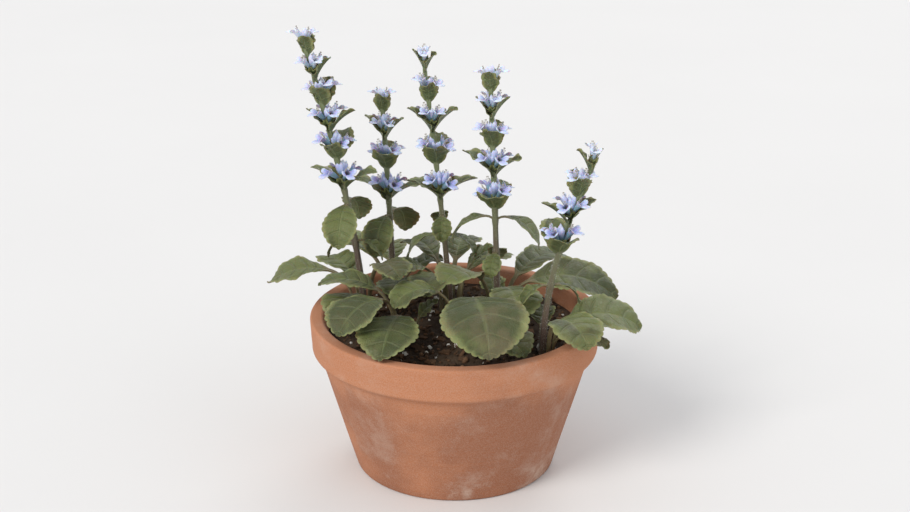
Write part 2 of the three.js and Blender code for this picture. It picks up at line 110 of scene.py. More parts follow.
LEAVES = [
    Leaf(0, 186, -8, 0.040, 0.044, 0.027, 18, -42, 8),
    Leaf(0, 300, 0, 0.048, 0.032, 0.028, 36, -34, 0),
    Leaf(0, 120, 10, 0.025, 0.042, 0.026, 40, -30, 0),
    Leaf(0, 250, 0, 0.024, 0.038, 0.026, 30, -40, 0),
    Leaf(1, 94, 10, 0.024, 0.042, 0.026, 30, -30, 0),
    Leaf(1, 150, 0, 0.030, 0.042, 0.024, 44, -16, 0),
    Leaf(1, 275, 0, 0.022, 0.038, 0.026, 30, -30, 0),
    Leaf(1, 30, 0, 0.020, 0.028, 0.022, 40, -20, 0),
    Leaf(2, 122, 0, 0.034, 0.042, 0.026, 34, -30, 0),
    Leaf(2, 79, 0, 0.032, 0.044, 0.028, 36, -30, 0),
    Leaf(2, 208, 0, 0.034, 0.036, 0.026, 40, -40, 0),
    Leaf(2, 5, 0, 0.032, 0.022, 0.018, 60, 10, 0),
    Leaf(3, 0, -6, 0.034, 0.064, 0.038, 27, -46, -16),
    Leaf(3, 44, 0, 0.032, 0.050, 0.032, 36, -28, 0),
    Leaf(3, 284, 0, 0.040, 0.035, 0.034, 20, -56, 0),
    Leaf(3, 225, 0, 0.038, 0.040, 0.032, 50, -30, 0),
    Leaf(4, 10, 2, 0.022, 0.054, 0.038, 26, -44, -16),
    Leaf(4, 300, 0, 0.028, 0.040, 0.036, 40, -58, 0),
    Leaf(4, 338, 0, 0.015, 0.032, 0.022, 20, -30, 0),
    Leaf(5, 226, 8, 0.038, 0.046, 0.036, 20, -50, 0),
    Leaf(5, 258, 0, 0.026, 0.050, 0.039, 16, -42, 0),
    Leaf(5, 176, 0, 0.034, 0.042, 0.028, 40, -30, 0),
    Leaf(6, 194, 4, 0.040, 0.034, 0.034, 34, -60, 0),
    Leaf(6, 278, 4, 0.046, 0.058, 0.054, 22, -70, 0),
    Leaf(6, 314, -6, 0.019, 0.042, 0.030, 16, -40, 0),
    Leaf(2, 250, 0, 0.030, 0.040, 0.030, 40, -36, 0),
    Leaf(2, 42, 0, 0.027, 0.042, 0.028, 34, -30, 0),
    Leaf(5, 20, 0, 0.012, 0.018, 0.015, 62, 20, 0),
    Leaf(6, 60, 0, 0.012, 0.018, 0.015, 64, 24, 0),
    Leaf(3, 100, 0, 0.014, 0.022, 0.017, 60, 10, 0),
    Leaf(4, 90, 0, 0.014, 0.022, 0.018, 54, -10, 0),
]
BLUSH = 0.12  # strength of a leaf's bronze blush
BLUSHED = {24: 0.4, 16: 0.35, 25: 0.3, 2: 0.3, 19: 0.4}  # and of that of the leaves with these numbers


class Spike(NamedTuple):
    """A flowering stem: its crown, how far its top stands from over its foot and how late it leans,
    its height over the soil, the heading of its lowest pair, the height and length of its pairs of
    leaves, the height of its lowest whorl of flowers, and how many whorls it has."""

    crown: int
    lean: tuple
    bend: float
    height: float
    turn: float
    pairs: tuple
    low: float
    whorls: int


SPIKES = [
    Spike(0, (-0.034, -0.006), 1.5, 0.186, -15, ((0.054, 0.025), (0.079, 0.040)), 0.090, 6),
    Spike(1, (-0.006, 0.004), 1.4, 0.138, 78, ((0.060, 0.044),), 0.071, 4),
    Spike(2, (-0.017, 0.002), 1.2, 0.170, 0, ((0.052, 0.032), (0.066, 0.024)), 0.078, 5),
    Spike(3, (-0.006, -0.002), 1.3, 0.164, 76, ((0.050, 0.022), (0.073, 0.040)), 0.080, 5),
    Spike(4, (0.030, 0.002), 1.9, 0.125, 10, ((0.044, 0.028),), 0.066, 4),
]
STEM_DEPTH = 0.014
STEM_HALVES = (0.0021, 0.0009)  # half the stem's width at the soil and at its top
TOP_CLEAR = 0.007
WHORL_CLOSING = 0.92
PAIR_PITCHES = (36, 0, -86)
PAIR_STALK = 0.16
PAIR_BROAD = 0.52
PAIR_UNEVEN = SimpleNamespace(size=0.1, heading=8, veer=10)
BRACT_SIZES = (0.028, 0.016)
BRACT_PITCHES = (54, 74)
BRACT_FALLS = (46, 24)
BRACT_BROAD = 0.66
BRACT_UNEVEN = 0.08
FLOWER_SIZES = (0.0175, 0.0145)
FLOWER_PITCHES = (50, 66)
FLOWER_SWING = 50
LONE_SWING = 90
LONE_FROM = 0.9
FLOWER_RISE = 0.0045
FLOWER_UNEVEN = SimpleNamespace(size=0.08, pitch=8)
PALER = SimpleNamespace(rise=0.9, uneven=0.15)  # how much paler the flowers are towards a spike's top
BUD_SWINGS = (-84, -30, 0, 30, 84)  # a bud's heading, to either side of its bract's
BUD_SHARE = 0.76  # a bud's length, as a share of an open flower's
BUD_PITCH = 77
BUD_PALE = (0.3, 0.7)  # how pale the lowest buds and the highest are
BUD_UNEVEN = SimpleNamespace(size=0.25, heading=9, pitch=9)
TOP_BRACTS = SimpleNamespace(count=4, drop=0.0025, blade=0.0075, width=0.0042, pitches=(70, 82, 60))

# Repeatable draws: how the numbers are spread, and how far apart each kind of part starts.
SPREAD = SimpleNamespace(step=12.9898, start=4.1414, fold=43758.5453)
PAIR_SEEDS = SimpleNamespace(spike=100, pair=10, heading=0.5, veer=0.7)
WHORL_SEEDS = SimpleNamespace(spike=1000, whorl=37, tint=0.3, bud=500, top=900)


class BladeForm(NamedTuple):
    """How one kind of blade is made. neck, thick: half the stalk's width, and its thickness. thin: the
    blade's thickness. sink: how deep its foot stands. tooth, depth: pitch and depth of the margin's
    scallops. veins: on either side. quilt: rise between the veins. rib: how far the midrib stands out
    below. wave: height of the margin's waves. cup: rise of the margin, as a share of the half width.
    skew, blunt: where it is broadest and how round its tip is. fine: rows to a scallop. columns: on
    one face. stalk_rows: rows along the stalk."""

    neck: float
    thick: float
    thin: float
    sink: float
    tooth: float
    depth: float
    veins: float
    quilt: float
    rib: float
    wave: float
    cup: float
    skew: float
    blunt: float
    fine: int
    columns: int
    stalk_rows: int


BASAL = BladeForm(
    neck=0.0016, thick=0.0022, thin=0.0006, sink=0.008, tooth=0.0050, depth=0.0011,
    veins=6.5, quilt=0.0009, rib=0.0008, wave=0.0012, cup=0.1, skew=1.3, blunt=0.68,
    fine=8, columns=18, stalk_rows=16,
)
PAIRED = BladeForm(
    neck=0.0012, thick=0.0016, thin=0.0005, sink=0.0012, tooth=0.0044, depth=0.0009,
    veins=5.5, quilt=0.0006, rib=0.0006, wave=0.0006, cup=0.1, skew=1.3, blunt=0.68,
    fine=7, columns=12, stalk_rows=4,
)
BRACT = BladeForm(
    neck=0.0012, thick=0.0010, thin=0.0004, sink=0.0, tooth=0.0046, depth=0.0012,
    veins=4.5, quilt=0.0005, rib=0.0004, wave=0.0011, cup=0.3, skew=1.0, blunt=0.6,
    fine=5, columns=8, stalk_rows=0,
)
MARKS = ("across", "vein", "flat", "under", "tint")  # what a blade's vertices tell its finish
PETAL_MARKS = ("along", "fan", "pale")  # and a corolla's

WALK = 0.0005  # step of the walk along a midrib
ROLLED = 0.6  # share of a leaf's length at which its roll is complete
FLARE = 0.3  # share of a blade on which the stalk's section turns into the blade's
WINGS = 0.5  # and share of it that the stalk's wings run up
OUTLINE_STEPS = 300
SCALLOP = SimpleNamespace(round=0.6, seat=0.6, start=(0.1, 0.4))  # the scallops' form and first stretch
VEIN_LEAN = 0.55  # how far the veins run forward, as a share of the half width
VEIN_ARCH = 1.4
VEIN_SHARP = 0.7  # under 1, the blade dips sharply at a vein
SWELL = 0.8  # under 1, the swelling between the veins is broad
RIPPLE = SimpleNamespace(rise=0.8, size=0.004)  # small ripples: their rise as a share of the quilt's
RIB_SPREAD = 0.0011
RIB_CHANNEL = 0.5  # depth of the channel over the midrib, as a share of the rib below
RIB_FADE = 0.6  # how much less the midrib stands out at the tip
CHANNEL = 0.4  # depth of a stalk's channel, as a share of its thickness
WAVES = 1.3
FRILLS = 3.2  # short waves of a margin, on a side
FRILL = 0.55  # and their height, as a share of the long waves'
FRILL_SEED = 0.25


def mix(low, high, share):
    """The value at a share of the way from low to high."""
    return low + (high - low) * share


def ease(value, low, high):
    """0 below low, 1 above high, and smooth between them."""
    share = min(1, max(0, (value - low) / (high - low)))
    return share * share * (3 - 2 * share)


def draw(number):
    """Repeatable draw between 0 and 1, the same as the solids' own."""
    wild = math.sin(number * SPREAD.step + SPREAD.start) * SPREAD.fold
    return wild - math.floor(wild)


def vary(amount, number):
    """Repeatable draw between -amount and amount."""
    return amount * (2 * draw(number) - 1)


def direction(heading, pitch):
    """Unit vector at a heading and a pitch over the horizontal."""
    turn, lift = math.radians(heading), math.radians(pitch)
    return Vector((math.cos(lift) * math.cos(turn), math.cos(lift) * math.sin(turn), math.sin(lift)))


def add_sheet(bm, columns, rows, place, layers=()):
    """Adds a grid to bm and moves each of its vertices by place(u, v), with u and v from 0 to 1. place
    gives the vertex's place, and then its value in each of the layers. Seams and poles are welded."""
    made = bmesh.ops.create_grid(bm, x_segments=columns, y_segments=rows, size=0.5)["verts"]
    for vert in made:
        vert.co, *marks = place(vert.co.x + 0.5, vert.co.y + 0.5)
        for layer, mark in zip(layers, marks, strict=True):
            vert[layer] = mark
    bmesh.ops.remove_doubles(bm, verts=made, dist=WELD)
    return [vert for vert in made if vert.is_valid]


def new_bmesh(*names):
    """A bmesh, and for each of these names a layer of numbers on its vertices."""
    bm = bmesh.new()
    return bm, [bm.verts.layers.float.new(name) for name in names]


def in_scene(name, bm):
    """Turns bm into an object in the scene."""
    mesh = bpy.data.meshes.new(name)
    bm.to_mesh(mesh)
    bm.free()
    made = bpy.data.objects.new(name, mesh)
    bpy.context.scene.collection.objects.link(made)
    return made


def faces_of(verts):
    """The faces round these vertices."""
    return {face for vert in verts for face in vert.link_faces}


def add_piece(name, bm, finishes, nodes=(), smooth=True, closed=True):
    """Turns bm into a piece of the plant or its pot, which stands for the CAD nodes named. closed:
    whether its openings are filled."""
    if closed:
        bmesh.ops.holes_fill(bm, edges=[edge for edge in bm.edges if edge.is_boundary], sides=0)
    bmesh.ops.recalc_face_normals(bm, faces=bm.faces)
    for face in bm.faces:
        face.smooth = smooth
    made = in_scene(name, bm)
    for finish in finishes:
        made.data.materials.append(finish)
    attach(made, "root")
    if nodes:
        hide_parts(*nodes)
    return made


class Value:
    """What a node works out. Sums and products of values add the nodes for them."""

    def __init__(self, finish, socket):
        self.finish = finish
        self.socket = socket

    def sum(self, operation, other):
        return self.finish.value("Math", {0: self, 1: other}, operation=operation)

    def __add__(self, other):
        return self.sum("ADD", other)

    def __sub__(self, other):
        return self.sum("SUBTRACT", other)

    def __mul__(self, other):
        return self.sum("MULTIPLY", other)

    def at_least(self, other):
        return self.sum("MAXIMUM", other)

    def swung(self, width):
        """This value, going to and fro between 0 and width as it rises."""
        return self.sum("PINGPONG", width)

    def span(self, low, high, start=0.0, end=1.0):
        """This value taken smoothly from the span low to high to the span start to end."""
        inputs = {"Value": self, "From Min": low, "From Max": high, "To Min": start, "To Max": end}
        return self.finish.value("MapRange", inputs, "Result", interpolation_type="SMOOTHSTEP")


class Finish:
    """A procedural material. Its colour is painted on in layers, over a base of two colours."""

    def __init__(self, name):
        self.material = bpy.data.materials.new(name)
        self.material.use_nodes = True
        self.tree = self.material.node_tree
        self.shader = self.tree.nodes["Principled BSDF"]
        self.place = self.value("TexCoord", output="Object")
        self.colour = None

    def value(self, kind, inputs=None, output=0, **settings):
        """An output of a new node with these settings, and values or links on its inputs."""
        node = self.tree.nodes.new("ShaderNode" + kind)
        for name, setting in settings.items():
            setattr(node, name, setting)
        for key, given in (inputs or {}).items():
            self.join(node.inputs[key], given)
        return Value(self, node.outputs[output])

    def join(self, socket, given):
        """Links what is given to the socket if a node works it out, and otherwise sets it there."""
        if isinstance(given, Value):
            self.tree.links.new(given.socket, socket)
        elif socket.type == "RGBA" and len(given) == 3:
            socket.default_value = (*given, 1)
        else:
            socket.default_value = given

    def mark(self, name):
        """What the vertices say under this name."""
        return self.value("Attribute", output="Fac", attribute_name=name)

    def cloud(self, scale=1.0, detail=3.0, roughness=0.55, stretch=None):
        """Soft noise. stretch: its scale along each axis, where they differ."""
        place = self.place
        if stretch:
            place = self.value("Mapping", {"Vector": place, "Scale": stretch}, "Vector")
        inputs = {"Vector": place, "Scale": scale, "Detail": detail, "Roughness": roughness}
        return self.value("TexNoise", inputs, "Fac")

    def wandering(self, scale, reach):
        """The place, pushed about so that what is drawn on it isn't straight."""
        cloud = self.value("TexNoise", {"Vector": self.place, "Scale": scale, "Detail": 2.0}, "Color")
        push = self.value("VectorMath", {0: cloud, 1: (0.5, 0.5, 0.5)}, operation="SUBTRACT")
        push = self.value("VectorMath", {0: push, "Scale": reach}, operation="SCALE")
        return self.value("VectorMath", {0: self.place, 1: push}, operation="ADD")

    def cells(self, scale, feature, place):
        inputs = {"Vector": place, "Scale": scale}
        return self.value("TexVoronoi", inputs, "Distance", feature=feature)

    def blend(self, share, first, second):
        return self.value("Mix", {"Factor": share, 6: first, 7: second}, 2, data_type="RGBA")

    def base(self, share, first, second):
        """Begins the colour with a blend of two."""
        self.colour = self.blend(share, first, second)

    def paint(self, colour, share):
        """Lays a colour over the colour so far, as thickly as share says."""
        self.colour = self.blend(share, self.colour, colour)

    def bump(self, height, distance, strength):
        inputs = {"Height": height, "Distance": distance, "Strength": strength}
        return self.value("Bump", inputs, "Normal")

    def done(self, roughness, normal=None, **constants):
        """Joins the colour, roughness and normal to the shader, and sets its other sockets."""
        self.join(self.shader.inputs["Base Color"], self.colour)
        self.join(self.shader.inputs["Roughness"], roughness)
        if normal:
            self.join(self.shader.inputs["Normal"], normal)
        for name, constant in constants.items():
            self.shader.inputs[name.replace("_", " ")].default_value = constant
        return self.material


def length_prop(name, description, default):
    return FloatProperty(
        name=name, description=description, default=default, min=0,
        unit="LENGTH", subtype="DISTANCE", precision=4,
    )


def colour_prop(name, description, default):
    return FloatVectorProperty(
        name=name, description=description, default=default, min=0, max=1, size=3, subtype="COLOR"
    )


def count_prop(name, description, default):
    return IntProperty(name=name, description=description, default=default, min=0)


class PotSettings(bpy.types.PropertyGroup):
    """The clay pan."""

    radius: length_prop("Rim radius", "From the pot's axis to the outside of its rim", POT_TOP.x)
    height: length_prop("Height", "From the pot's underside to the top of its rim", POT_TOP.z)
    drain: length_prop("Drain hole", "Radius of a drain hole", 0.005)
    clay: colour_prop("Clay", "Fired clay where it is clean and dry", (0.48, 0.195, 0.095))
    damp: colour_prop("Damp clay", "Clay where water has soaked in", (0.27, 0.098, 0.048))
    bloom: colour_prop("Bloom", "Lime left on the clay by hard water", (0.66, 0.55, 0.46))


class SoilSettings(bpy.types.PropertyGroup):
    """The potting mix."""

    lump: length_prop("Lumps", "Height of the lumps of its surface", 0.0016)
    crumbs: count_prop("Crumbs", "Loose crumbs on the surface", 900)
    chips: count_prop("Bark chips", "Chips of bark on the surface", 150)
    grit: count_prop("Perlite", "Grains of perlite on the surface", 90)
    peat: colour_prop("Peat", "Moist peat", (0.030, 0.018, 0.011))
    dry: colour_prop("Dry peat", "Peat that has dried on top", (0.085, 0.055, 0.034))
    bark: colour_prop("Bark", "Composted bark", (0.13, 0.068, 0.034))


class LeafSettings(bpy.types.PropertyGroup):
    """The basal leaves."""

    green: colour_prop("Green", "The blade's middle tone", (0.120, 0.142, 0.041))
    # Dark green is the blade's darker tone. It is also painted along the sunken veins as shade.
    dark: colour_prop("Dark green", "The blade's hollows", (0.054, 0.066, 0.019))
    margin: colour_prop("Margin", "The blade's scalloped edge", (0.24, 0.265, 0.100))
    vein: colour_prop("Vein", "The midrib and the side veins", (0.24, 0.27, 0.115))
    under: colour_prop("Underside", "The blade's lower face", (0.132, 0.15, 0.068))
    blush: colour_prop("Blush", "Bronze on older leaves", (0.19, 0.145, 0.082))
    stalk: colour_prop("Stalk", "The leaf's stalk", (0.17, 0.14, 0.068))


class SpikeSettings(bpy.types.PropertyGroup):
    """The flowering stems."""

    stem: colour_prop("Stem", "The stem near the soil", (0.120, 0.078, 0.058))
    shoot: colour_prop("Shoot", "The stem near its top", (0.17, 0.20, 0.095))
    bract: colour_prop("Bract", "The bracts' middle tone", (0.114, 0.140, 0.052))
    tube: colour_prop("Tube", "A flower's tube", (0.19, 0.335, 0.44))
    lip: colour_prop("Lip", "A flower's lip", (0.39, 0.44, 0.80))
    pale: colour_prop("Pale lip", "The lip of the youngest flowers", (0.74, 0.78, 0.90))
    line: colour_prop("Guide line", "The lines that lead into the flower", (0.16, 0.13, 0.46))


class Midrib:
    """The line that a blade grows along, with the blade's side and upper side at each distance."""

    def __init__(self, root, leaf, pitches):
        self.leaf = leaf
        self.pitches = pitches
        self.length = leaf.stalk + leaf.blade
        self.frames = []
        place = root.copy()
        for i in range(math.ceil(self.length / WALK) + 2):
            along = self.way(i * WALK)
            side = direction(self.heading(i * WALK) - 90, 0)
            roll = -leaf.roll * ease(i * WALK, 0, self.length * ROLLED)
            side.rotate(Quaternion(along, math.radians(roll)))
            self.frames.append((place.copy(), side, side.cross(along).normalized()))
            place += self.way((i + 0.5) * WALK) * WALK

    def heading(self, station):
        return self.leaf.heading + self.leaf.veer * station / self.length

    def way(self, station):
        """The way it grows at a distance from its root. A stalk keeps its first pitch longest."""
        stalk, blade = self.leaf.stalk, self.leaf.blade
        if station < stalk:
            pitch = mix(self.pitches[0], self.pitches[1], (station / stalk) ** 2)
        else:
            pitch = mix(self.pitches[1], self.pitches[2], (station - stalk) / blade)
        return direction(self.heading(station), pitch)

    def at(self, station):
        """The place, side and upper side at a distance from the root, which may be under it."""
        if station <= 0:
            place, side, up = self.frames[0]
            return place + self.way(0) * station, side, up
        i = min(int(station / WALK), len(self.frames) - 2)
        share = station / WALK - i
        return tuple(a.lerp(b, share) for a, b in zip(self.frames[i], self.frames[i + 1], strict=True))


class Row(NamedTuple):
    """A line across a blade: how far from the root it meets the rib and the margin, its half width,
    the scallop's offset forwards and outwards, its share of the blade, and its place among the
    veins."""

    rib: float
    margin: float
    half: float
    forward: float
    outward: float
    share: float
    vein: float


class Blade:
    """A leaf with its stalk. Its rows run from foot to tip, and each goes once round both faces."""

    def __init__(self, root, leaf, pitches, form, number, tint):
        self.leaf = leaf
        self.form = form
        self.number = number
        self.tint = tint
        self.rib = Midrib(root, leaf, pitches)
        self.rows = [*self.stalk_rows(), *self.blade_rows()]

    def stalk_rows(self):
        """Rows from the foot to just before the blade."""
        count = self.form.stalk_rows
        for i in range(count):
            station = mix(-self.form.sink, self.leaf.stalk, i / count)
            yield Row(station, station, self.form.neck, 0, 0, 0, 0)

    def breadth(self, share):
        """Half the blade's width, without scallops. The stalk's wings fade into it."""
        swell = max(0, math.sin(math.pi * share**self.form.skew))
        full = self.leaf.width / 2 * swell**self.form.blunt
        neck = self.form.neck * (1 - ease(share, 0, WINGS))
        return (full**4 + neck**4) ** 0.25

    def blade_rows(self):
        """Rows at equal steps along the margin, with whole scallops and half of one at the tip."""
        leaf, form = self.leaf, self.form
        line = []
        for i in range(OUTLINE_STEPS + 1):
            share = i / OUTLINE_STEPS
            line.append((leaf.blade * share, self.breadth(share)))
        walked = [0.0]
        for (x, y), (far_x, far_y) in zip(line, line[1:], strict=False):
            walked.append(walked[-1] + math.hypot(far_x - x, far_y - y))
        scallops = max(2, round(walked[-1] / form.tooth)) + 0.5
        count = round(scallops * form.fine)
        for i in range(count + 1):
            way = walked[-1] * i / count
            k = min(max(bisect_left(walked, way), 1), OUTLINE_STEPS)
            share = (way - walked[k - 1]) / (walked[k] - walked[k - 1])
            (x0, y0), (x1, y1) = line[k - 1], line[k]
            x, y = mix(x0, x1, share), max(0.0, mix(y0, y1, share))
            step = math.hypot(x1 - x0, y1 - y0)
            scallop = abs(math.sin(math.pi * scallops * i / count)) ** SCALLOP.round
            tooth = form.depth * (scallop - SCALLOP.seat) * ease(x / leaf.blade, *SCALLOP.start)
            yield Row(
                rib=leaf.stalk + x - VEIN_LEAN * max(0, y - form.neck) * ease(y, 0, form.neck),
                margin=leaf.stalk + x,
                half=y,
                forward=tooth * (y0 - y1) / step,
                outward=tooth * (x1 - x0) / step,
                share=x / leaf.blade,
                vein=form.veins * i / count,
            )

    def relief(self, row, v, face, x, y):
        """Height over the rib's line at v, from -1 on the left margin to 1 on the right one."""
        form = self.form
        flat = ease(row.share, 0, FLARE)
        inner = 1 - v * v
        body = mix(form.thick * math.sqrt(max(0, inner)), form.thin * (1 - v**8), flat) / 2
        rib = math.exp(-((y / RIB_SPREAD) ** 2)) * inner * flat
        if face > 0:
            height = body - form.rib * RIB_CHANNEL * rib - CHANNEL * form.thick * inner**2 * (1 - flat)
        else:
            height = -body - form.rib * (1 - RIB_FADE * row.share) * rib
        between = abs(math.sin(math.pi * row.vein)) ** VEIN_SHARP
        swell = form.quilt * (between - 0.5) * math.sin(math.pi * abs(v)) ** SWELL
        spot = Vector((x, y * math.copysign(1, v), self.number)) / RIPPLE.size
        ripple = form.quilt * RIPPLE.rise * noise.noise(spot)
        wave = form.wave * math.sin(2 * math.pi * (WAVES * row.share + draw(self.number)))
        turn = FRILLS * row.share + draw(self.number + math.copysign(FRILL_SEED, v))
        frill = FRILL * form.wave * math.sin(2 * math.pi * turn) * v**4
        height += flat * (swell + ripple * abs(v) + frill + abs(v) * row.half * form.cup - v * wave)
        return height * ease(row.half, 0, form.neck)

    def point(self, row, v, face):
        """A point of the upper face, 1, or the lower face, -1."""
        closing = ease(row.half, 0, self.form.neck)
        reach = mix(1, v**4, closing)
        x = mix(row.rib, row.margin, abs(v) ** VEIN_ARCH) + row.forward * reach
        y = abs(v) * row.half + row.outward * v**4 * closing
        place, side, up = self.rib.at(x)
        return place + side * math.copysign(y, v) + up * self.relief(row, v, face, x, y)

    def add_to(self, bm, layers):
        """Adds the blade to bm as one closed skin, but for the hole at its foot."""
        last = len(self.rows) - 1

        def place(u, turn):
            row = self.rows[round(u * last)]
            face = 1 if turn < 0.5 else -1
            v = -math.cos(2 * math.pi * turn)
            flat = ease(row.share, 0, FLARE)
            return self.point(row, v, face), abs(v), row.vein, flat, float(face < 0), self.tint

        return add_sheet(bm, last, 2 * self.form.columns, place, layers)


def leaf_root(leaf):
    """Where a basal leaf comes out of the soil."""
    x, y = CROWNS[leaf.crown]
    return Vector((x, y, SOIL_TOP)) + direction(leaf.heading, 0) * CROWN_RADIUS


def stem_place(spike, height):
    """Middle of a spike's stem at a height over the soil. Under the soil it stands upright."""
    x, y = CROWNS[spike.crown]
    share = max(0, height / spike.height) ** spike.bend
    return Vector((x + spike.lean[0] * share, y + spike.lean[1] * share, SOIL_TOP + height))


def stem_half(spike, height):
    """Half the width of a spike's stem at a height over the soil."""
    return mix(*STEM_HALVES, max(0, height / spike.height))


def pair_blades(spike, number):
    """The leaves on a spike's stem, in pairs on opposite sides."""
    for i, (height, size) in enumerate(spike.pairs):
        for half in (0, 1):
            own = number * PAIR_SEEDS.spike + i * PAIR_SEEDS.pair + half
            length = size * (1 + vary(PAIR_UNEVEN.size, own))
            uneven = vary(PAIR_UNEVEN.heading, own + PAIR_SEEDS.heading)
            leaf = SimpleNamespace(
                heading=spike.turn + 90 * i + 180 * half + uneven,
                veer=vary(PAIR_UNEVEN.veer, own + PAIR_SEEDS.veer),
                stalk=length * PAIR_STALK,
                blade=length * (1 - PAIR_STALK),
                width=length * PAIR_BROAD,
                roll=0,
            )
            yield Blade(stem_place(spike, height), leaf, PAIR_PITCHES, PAIRED, own, vary(1, own))


class Flower(NamedTuple):
    """A flower's foot, its axes, its length, how pale it is from 0 to 1, and its number."""

    foot: Vector
    along: Vector
    side: Vector
    down: Vector
    length: float
    pale: float
    number: float

    def at(self, reach, radius, angle):
        """A point round the flower's axis. reach and radius are shares of its length, and angle runs
        in radians from straight down."""
        out = self.down * math.cos(angle) - self.side * math.sin(angle)
        return self.foot + (self.along * reach + out * radius) * self.length


def whorls(spike, number):
    """Each whorl of a spike: its share of the way up, its height, its seed and its bracts' heading."""
    for index in range(spike.whorls):
        share = index / (spike.whorls - 1)
        height = mix(spike.low, spike.height - TOP_CLEAR, share**WHORL_CLOSING)
        seed = number * WHORL_SEEDS.spike + index * WHORL_SEEDS.whorl
        yield share, height, seed, spike.turn + 90 * (index + len(spike.pairs))


def bract(root, heading, length, width, pitches, number, tint):
    """A blade without a stalk."""
    leaf = SimpleNamespace(heading=heading, veer=0, stalk=0, blade=length, width=width, roll=0)
    return Blade(root, leaf, pitches, BRACT, number, tint)


def bract_blades(spike, number):
    """The bracts of a spike, and the small ones that close its top."""
    for share, height, seed, turn in whorls(spike, number):
        root = stem_place(spike, height)
        steep = mix(*BRACT_PITCHES, share)
        pitches = (steep, steep, steep - mix(*BRACT_FALLS, share))
        for half in (0, 180):
            own = seed + half
            length = mix(*BRACT_SIZES, share) * (1 + vary(BRACT_UNEVEN, own))
            tint = vary(1, own + WHORL_SEEDS.tint)
            yield bract(root, turn + half, length, length * BRACT_BROAD, pitches, own, tint)
    top = TOP_BRACTS
    root = stem_place(spike, spike.height - top.drop)
    for i in range(top.count):
        own = number * WHORL_SEEDS.spike + WHORL_SEEDS.top + i
        turn = spike.turn + 90 * i + 45
        yield bract(root, turn, top.blade, top.width, top.pitches, own, vary(1, own))


def aimed_flower(foot, heading, pitch, length, pale, number):
    """A flower that points this way."""
    along = direction(heading, pitch)
    side = direction(heading - 90, 0)
    return Flower(foot, along, side, along.cross(side), length, pale, number)


def flowers(spike, number):
    """The flowers in the axils of a spike's bracts, two to a bract, or one near its top."""
    for share, height, seed, turn in whorls(spike, number):
        foot = stem_place(spike, height + FLOWER_RISE)
        swings = (-FLOWER_SWING, FLOWER_SWING) if share < LONE_FROM else (LONE_SWING,)
        for half in (0, 180):
            for swing in swings:
                own = seed + half + swing
                size = mix(*FLOWER_SIZES, share) * (1 + vary(FLOWER_UNEVEN.size, own))
                pitch = mix(*FLOWER_PITCHES, share) + vary(FLOWER_UNEVEN.pitch, own + 1)
                pale = min(1, max(0, share * PALER.rise + vary(PALER.uneven, own + 2)))
                yield aimed_flower(foot, turn + half + swing, pitch, size, pale, own)


def buds(spike, number):
    """The closed buds between a bract and its flowers, which stand up against the stem."""
    for share, height, seed, turn in whorls(spike, number):
        foot = stem_place(spike, height + FLOWER_RISE)
        for half in (0, 180):
            for swing in BUD_SWINGS:
                own = seed + half + swing + WHORL_SEEDS.bud
                size = BUD_SHARE * mix(*FLOWER_SIZES, share) * (1 + vary(BUD_UNEVEN.size, own))
                heading = turn + half + swing + vary(BUD_UNEVEN.heading, own + 1)
                pitch = BUD_PITCH + vary(BUD_UNEVEN.pitch, own + 2)
                yield aimed_flower(foot, heading, pitch, size, mix(*BUD_PALE, share), own)


def blade_finish(name, colours, net_scale=620.0, rim=0.86, vein_share=0.26):
    """A leaf's skin: mottled between paler veins, with painted shade along the sunken veins, pale at the
    margin, and duller below, where its veins show more. rim: where the margin's colour begins.
    vein_share: how strong the veins are."""
    finish = Finish(name)
    across, vein, flat, under, tint = map(finish.mark, MARKS)
    net = finish.cells(net_scale, "DISTANCE_TO_EDGE", finish.wandering(260, 0.0032))
    to_vein = vein.swung(0.5)
    side_vein = to_vein.span(0.0, 0.09, 1, 0) * across.span(0.55, 0.98, 1, 0)
    midrib = across.span(0.025, 0.09, 1, 0)
    veins = side_vein.at_least(midrib) * flat

    tone = finish.cloud(55, detail=4) + tint * 0.14
    finish.base(tone.span(0.38, 0.62), colours.dark, colours.green)
    # Painted shade: dark green laid along the sunken side veins, strongest towards the midrib, where the
    # quilted blade dips.
    painted_vein_shade = to_vein.span(0.04, 0.2, 1, 0) * across.span(0.2, 0.9, 1, 0.3)
    finish.paint(colours.dark, painted_vein_shade * (flat * 0.4))
    finish.paint(colours.vein, net.span(0.0, 0.09, 0.08, 0))
    finish.paint(colours.under, under * 0.75)
    finish.paint(colours.vein, veins * under.span(0, 1, vein_share, vein_share + 0.2))
    edge = across + finish.cloud(240) * 0.22
    finish.paint(colours.margin, edge.span(rim, rim + 0.26) * 0.85)
    finish.paint(colours.blush, finish.mark("blush") * finish.cloud(38).span(0.42, 0.6))
    finish.paint(colours.stalk, flat.span(0.0, 0.75, 1, 0))

    pits = finish.cloud(420) * 0.5
    grain = finish.cloud(1600, detail=2) * 0.3
    normal = finish.bump(net.span(0.0, 0.3) * 0.42 + pits + grain - veins, 0.0004, 0.85)
    return finish.done(
        finish.cloud(300).span(0.3, 0.7, 0.38, 0.56), normal, Specular_IOR_Level=0.36,
        Sheen_Weight=0.04, Sheen_Roughness=0.5, Subsurface_Weight=0.12, Subsurface_Scale=0.002,
    )


def stem_finish(colours):
    """A square stem: mauve brown near the soil, green higher up, streaked along its length."""
    finish = Finish("stem skin")
    streaks = finish.cloud(stretch=(900, 900, 60))
    share = finish.mark("share") + (finish.cloud(70) - 0.5) * 0.5
    finish.base(share.span(0.15, 0.75), colours.stem, colours.shoot)
    finish.paint(colours.shoot, streaks.span(0.45, 0.75, 0, 0.45))
    normal = finish.bump(streaks, 0.0003, 0.6)
    return finish.done(0.5, normal, Specular_IOR_Level=0.4, Sheen_Weight=0.15)


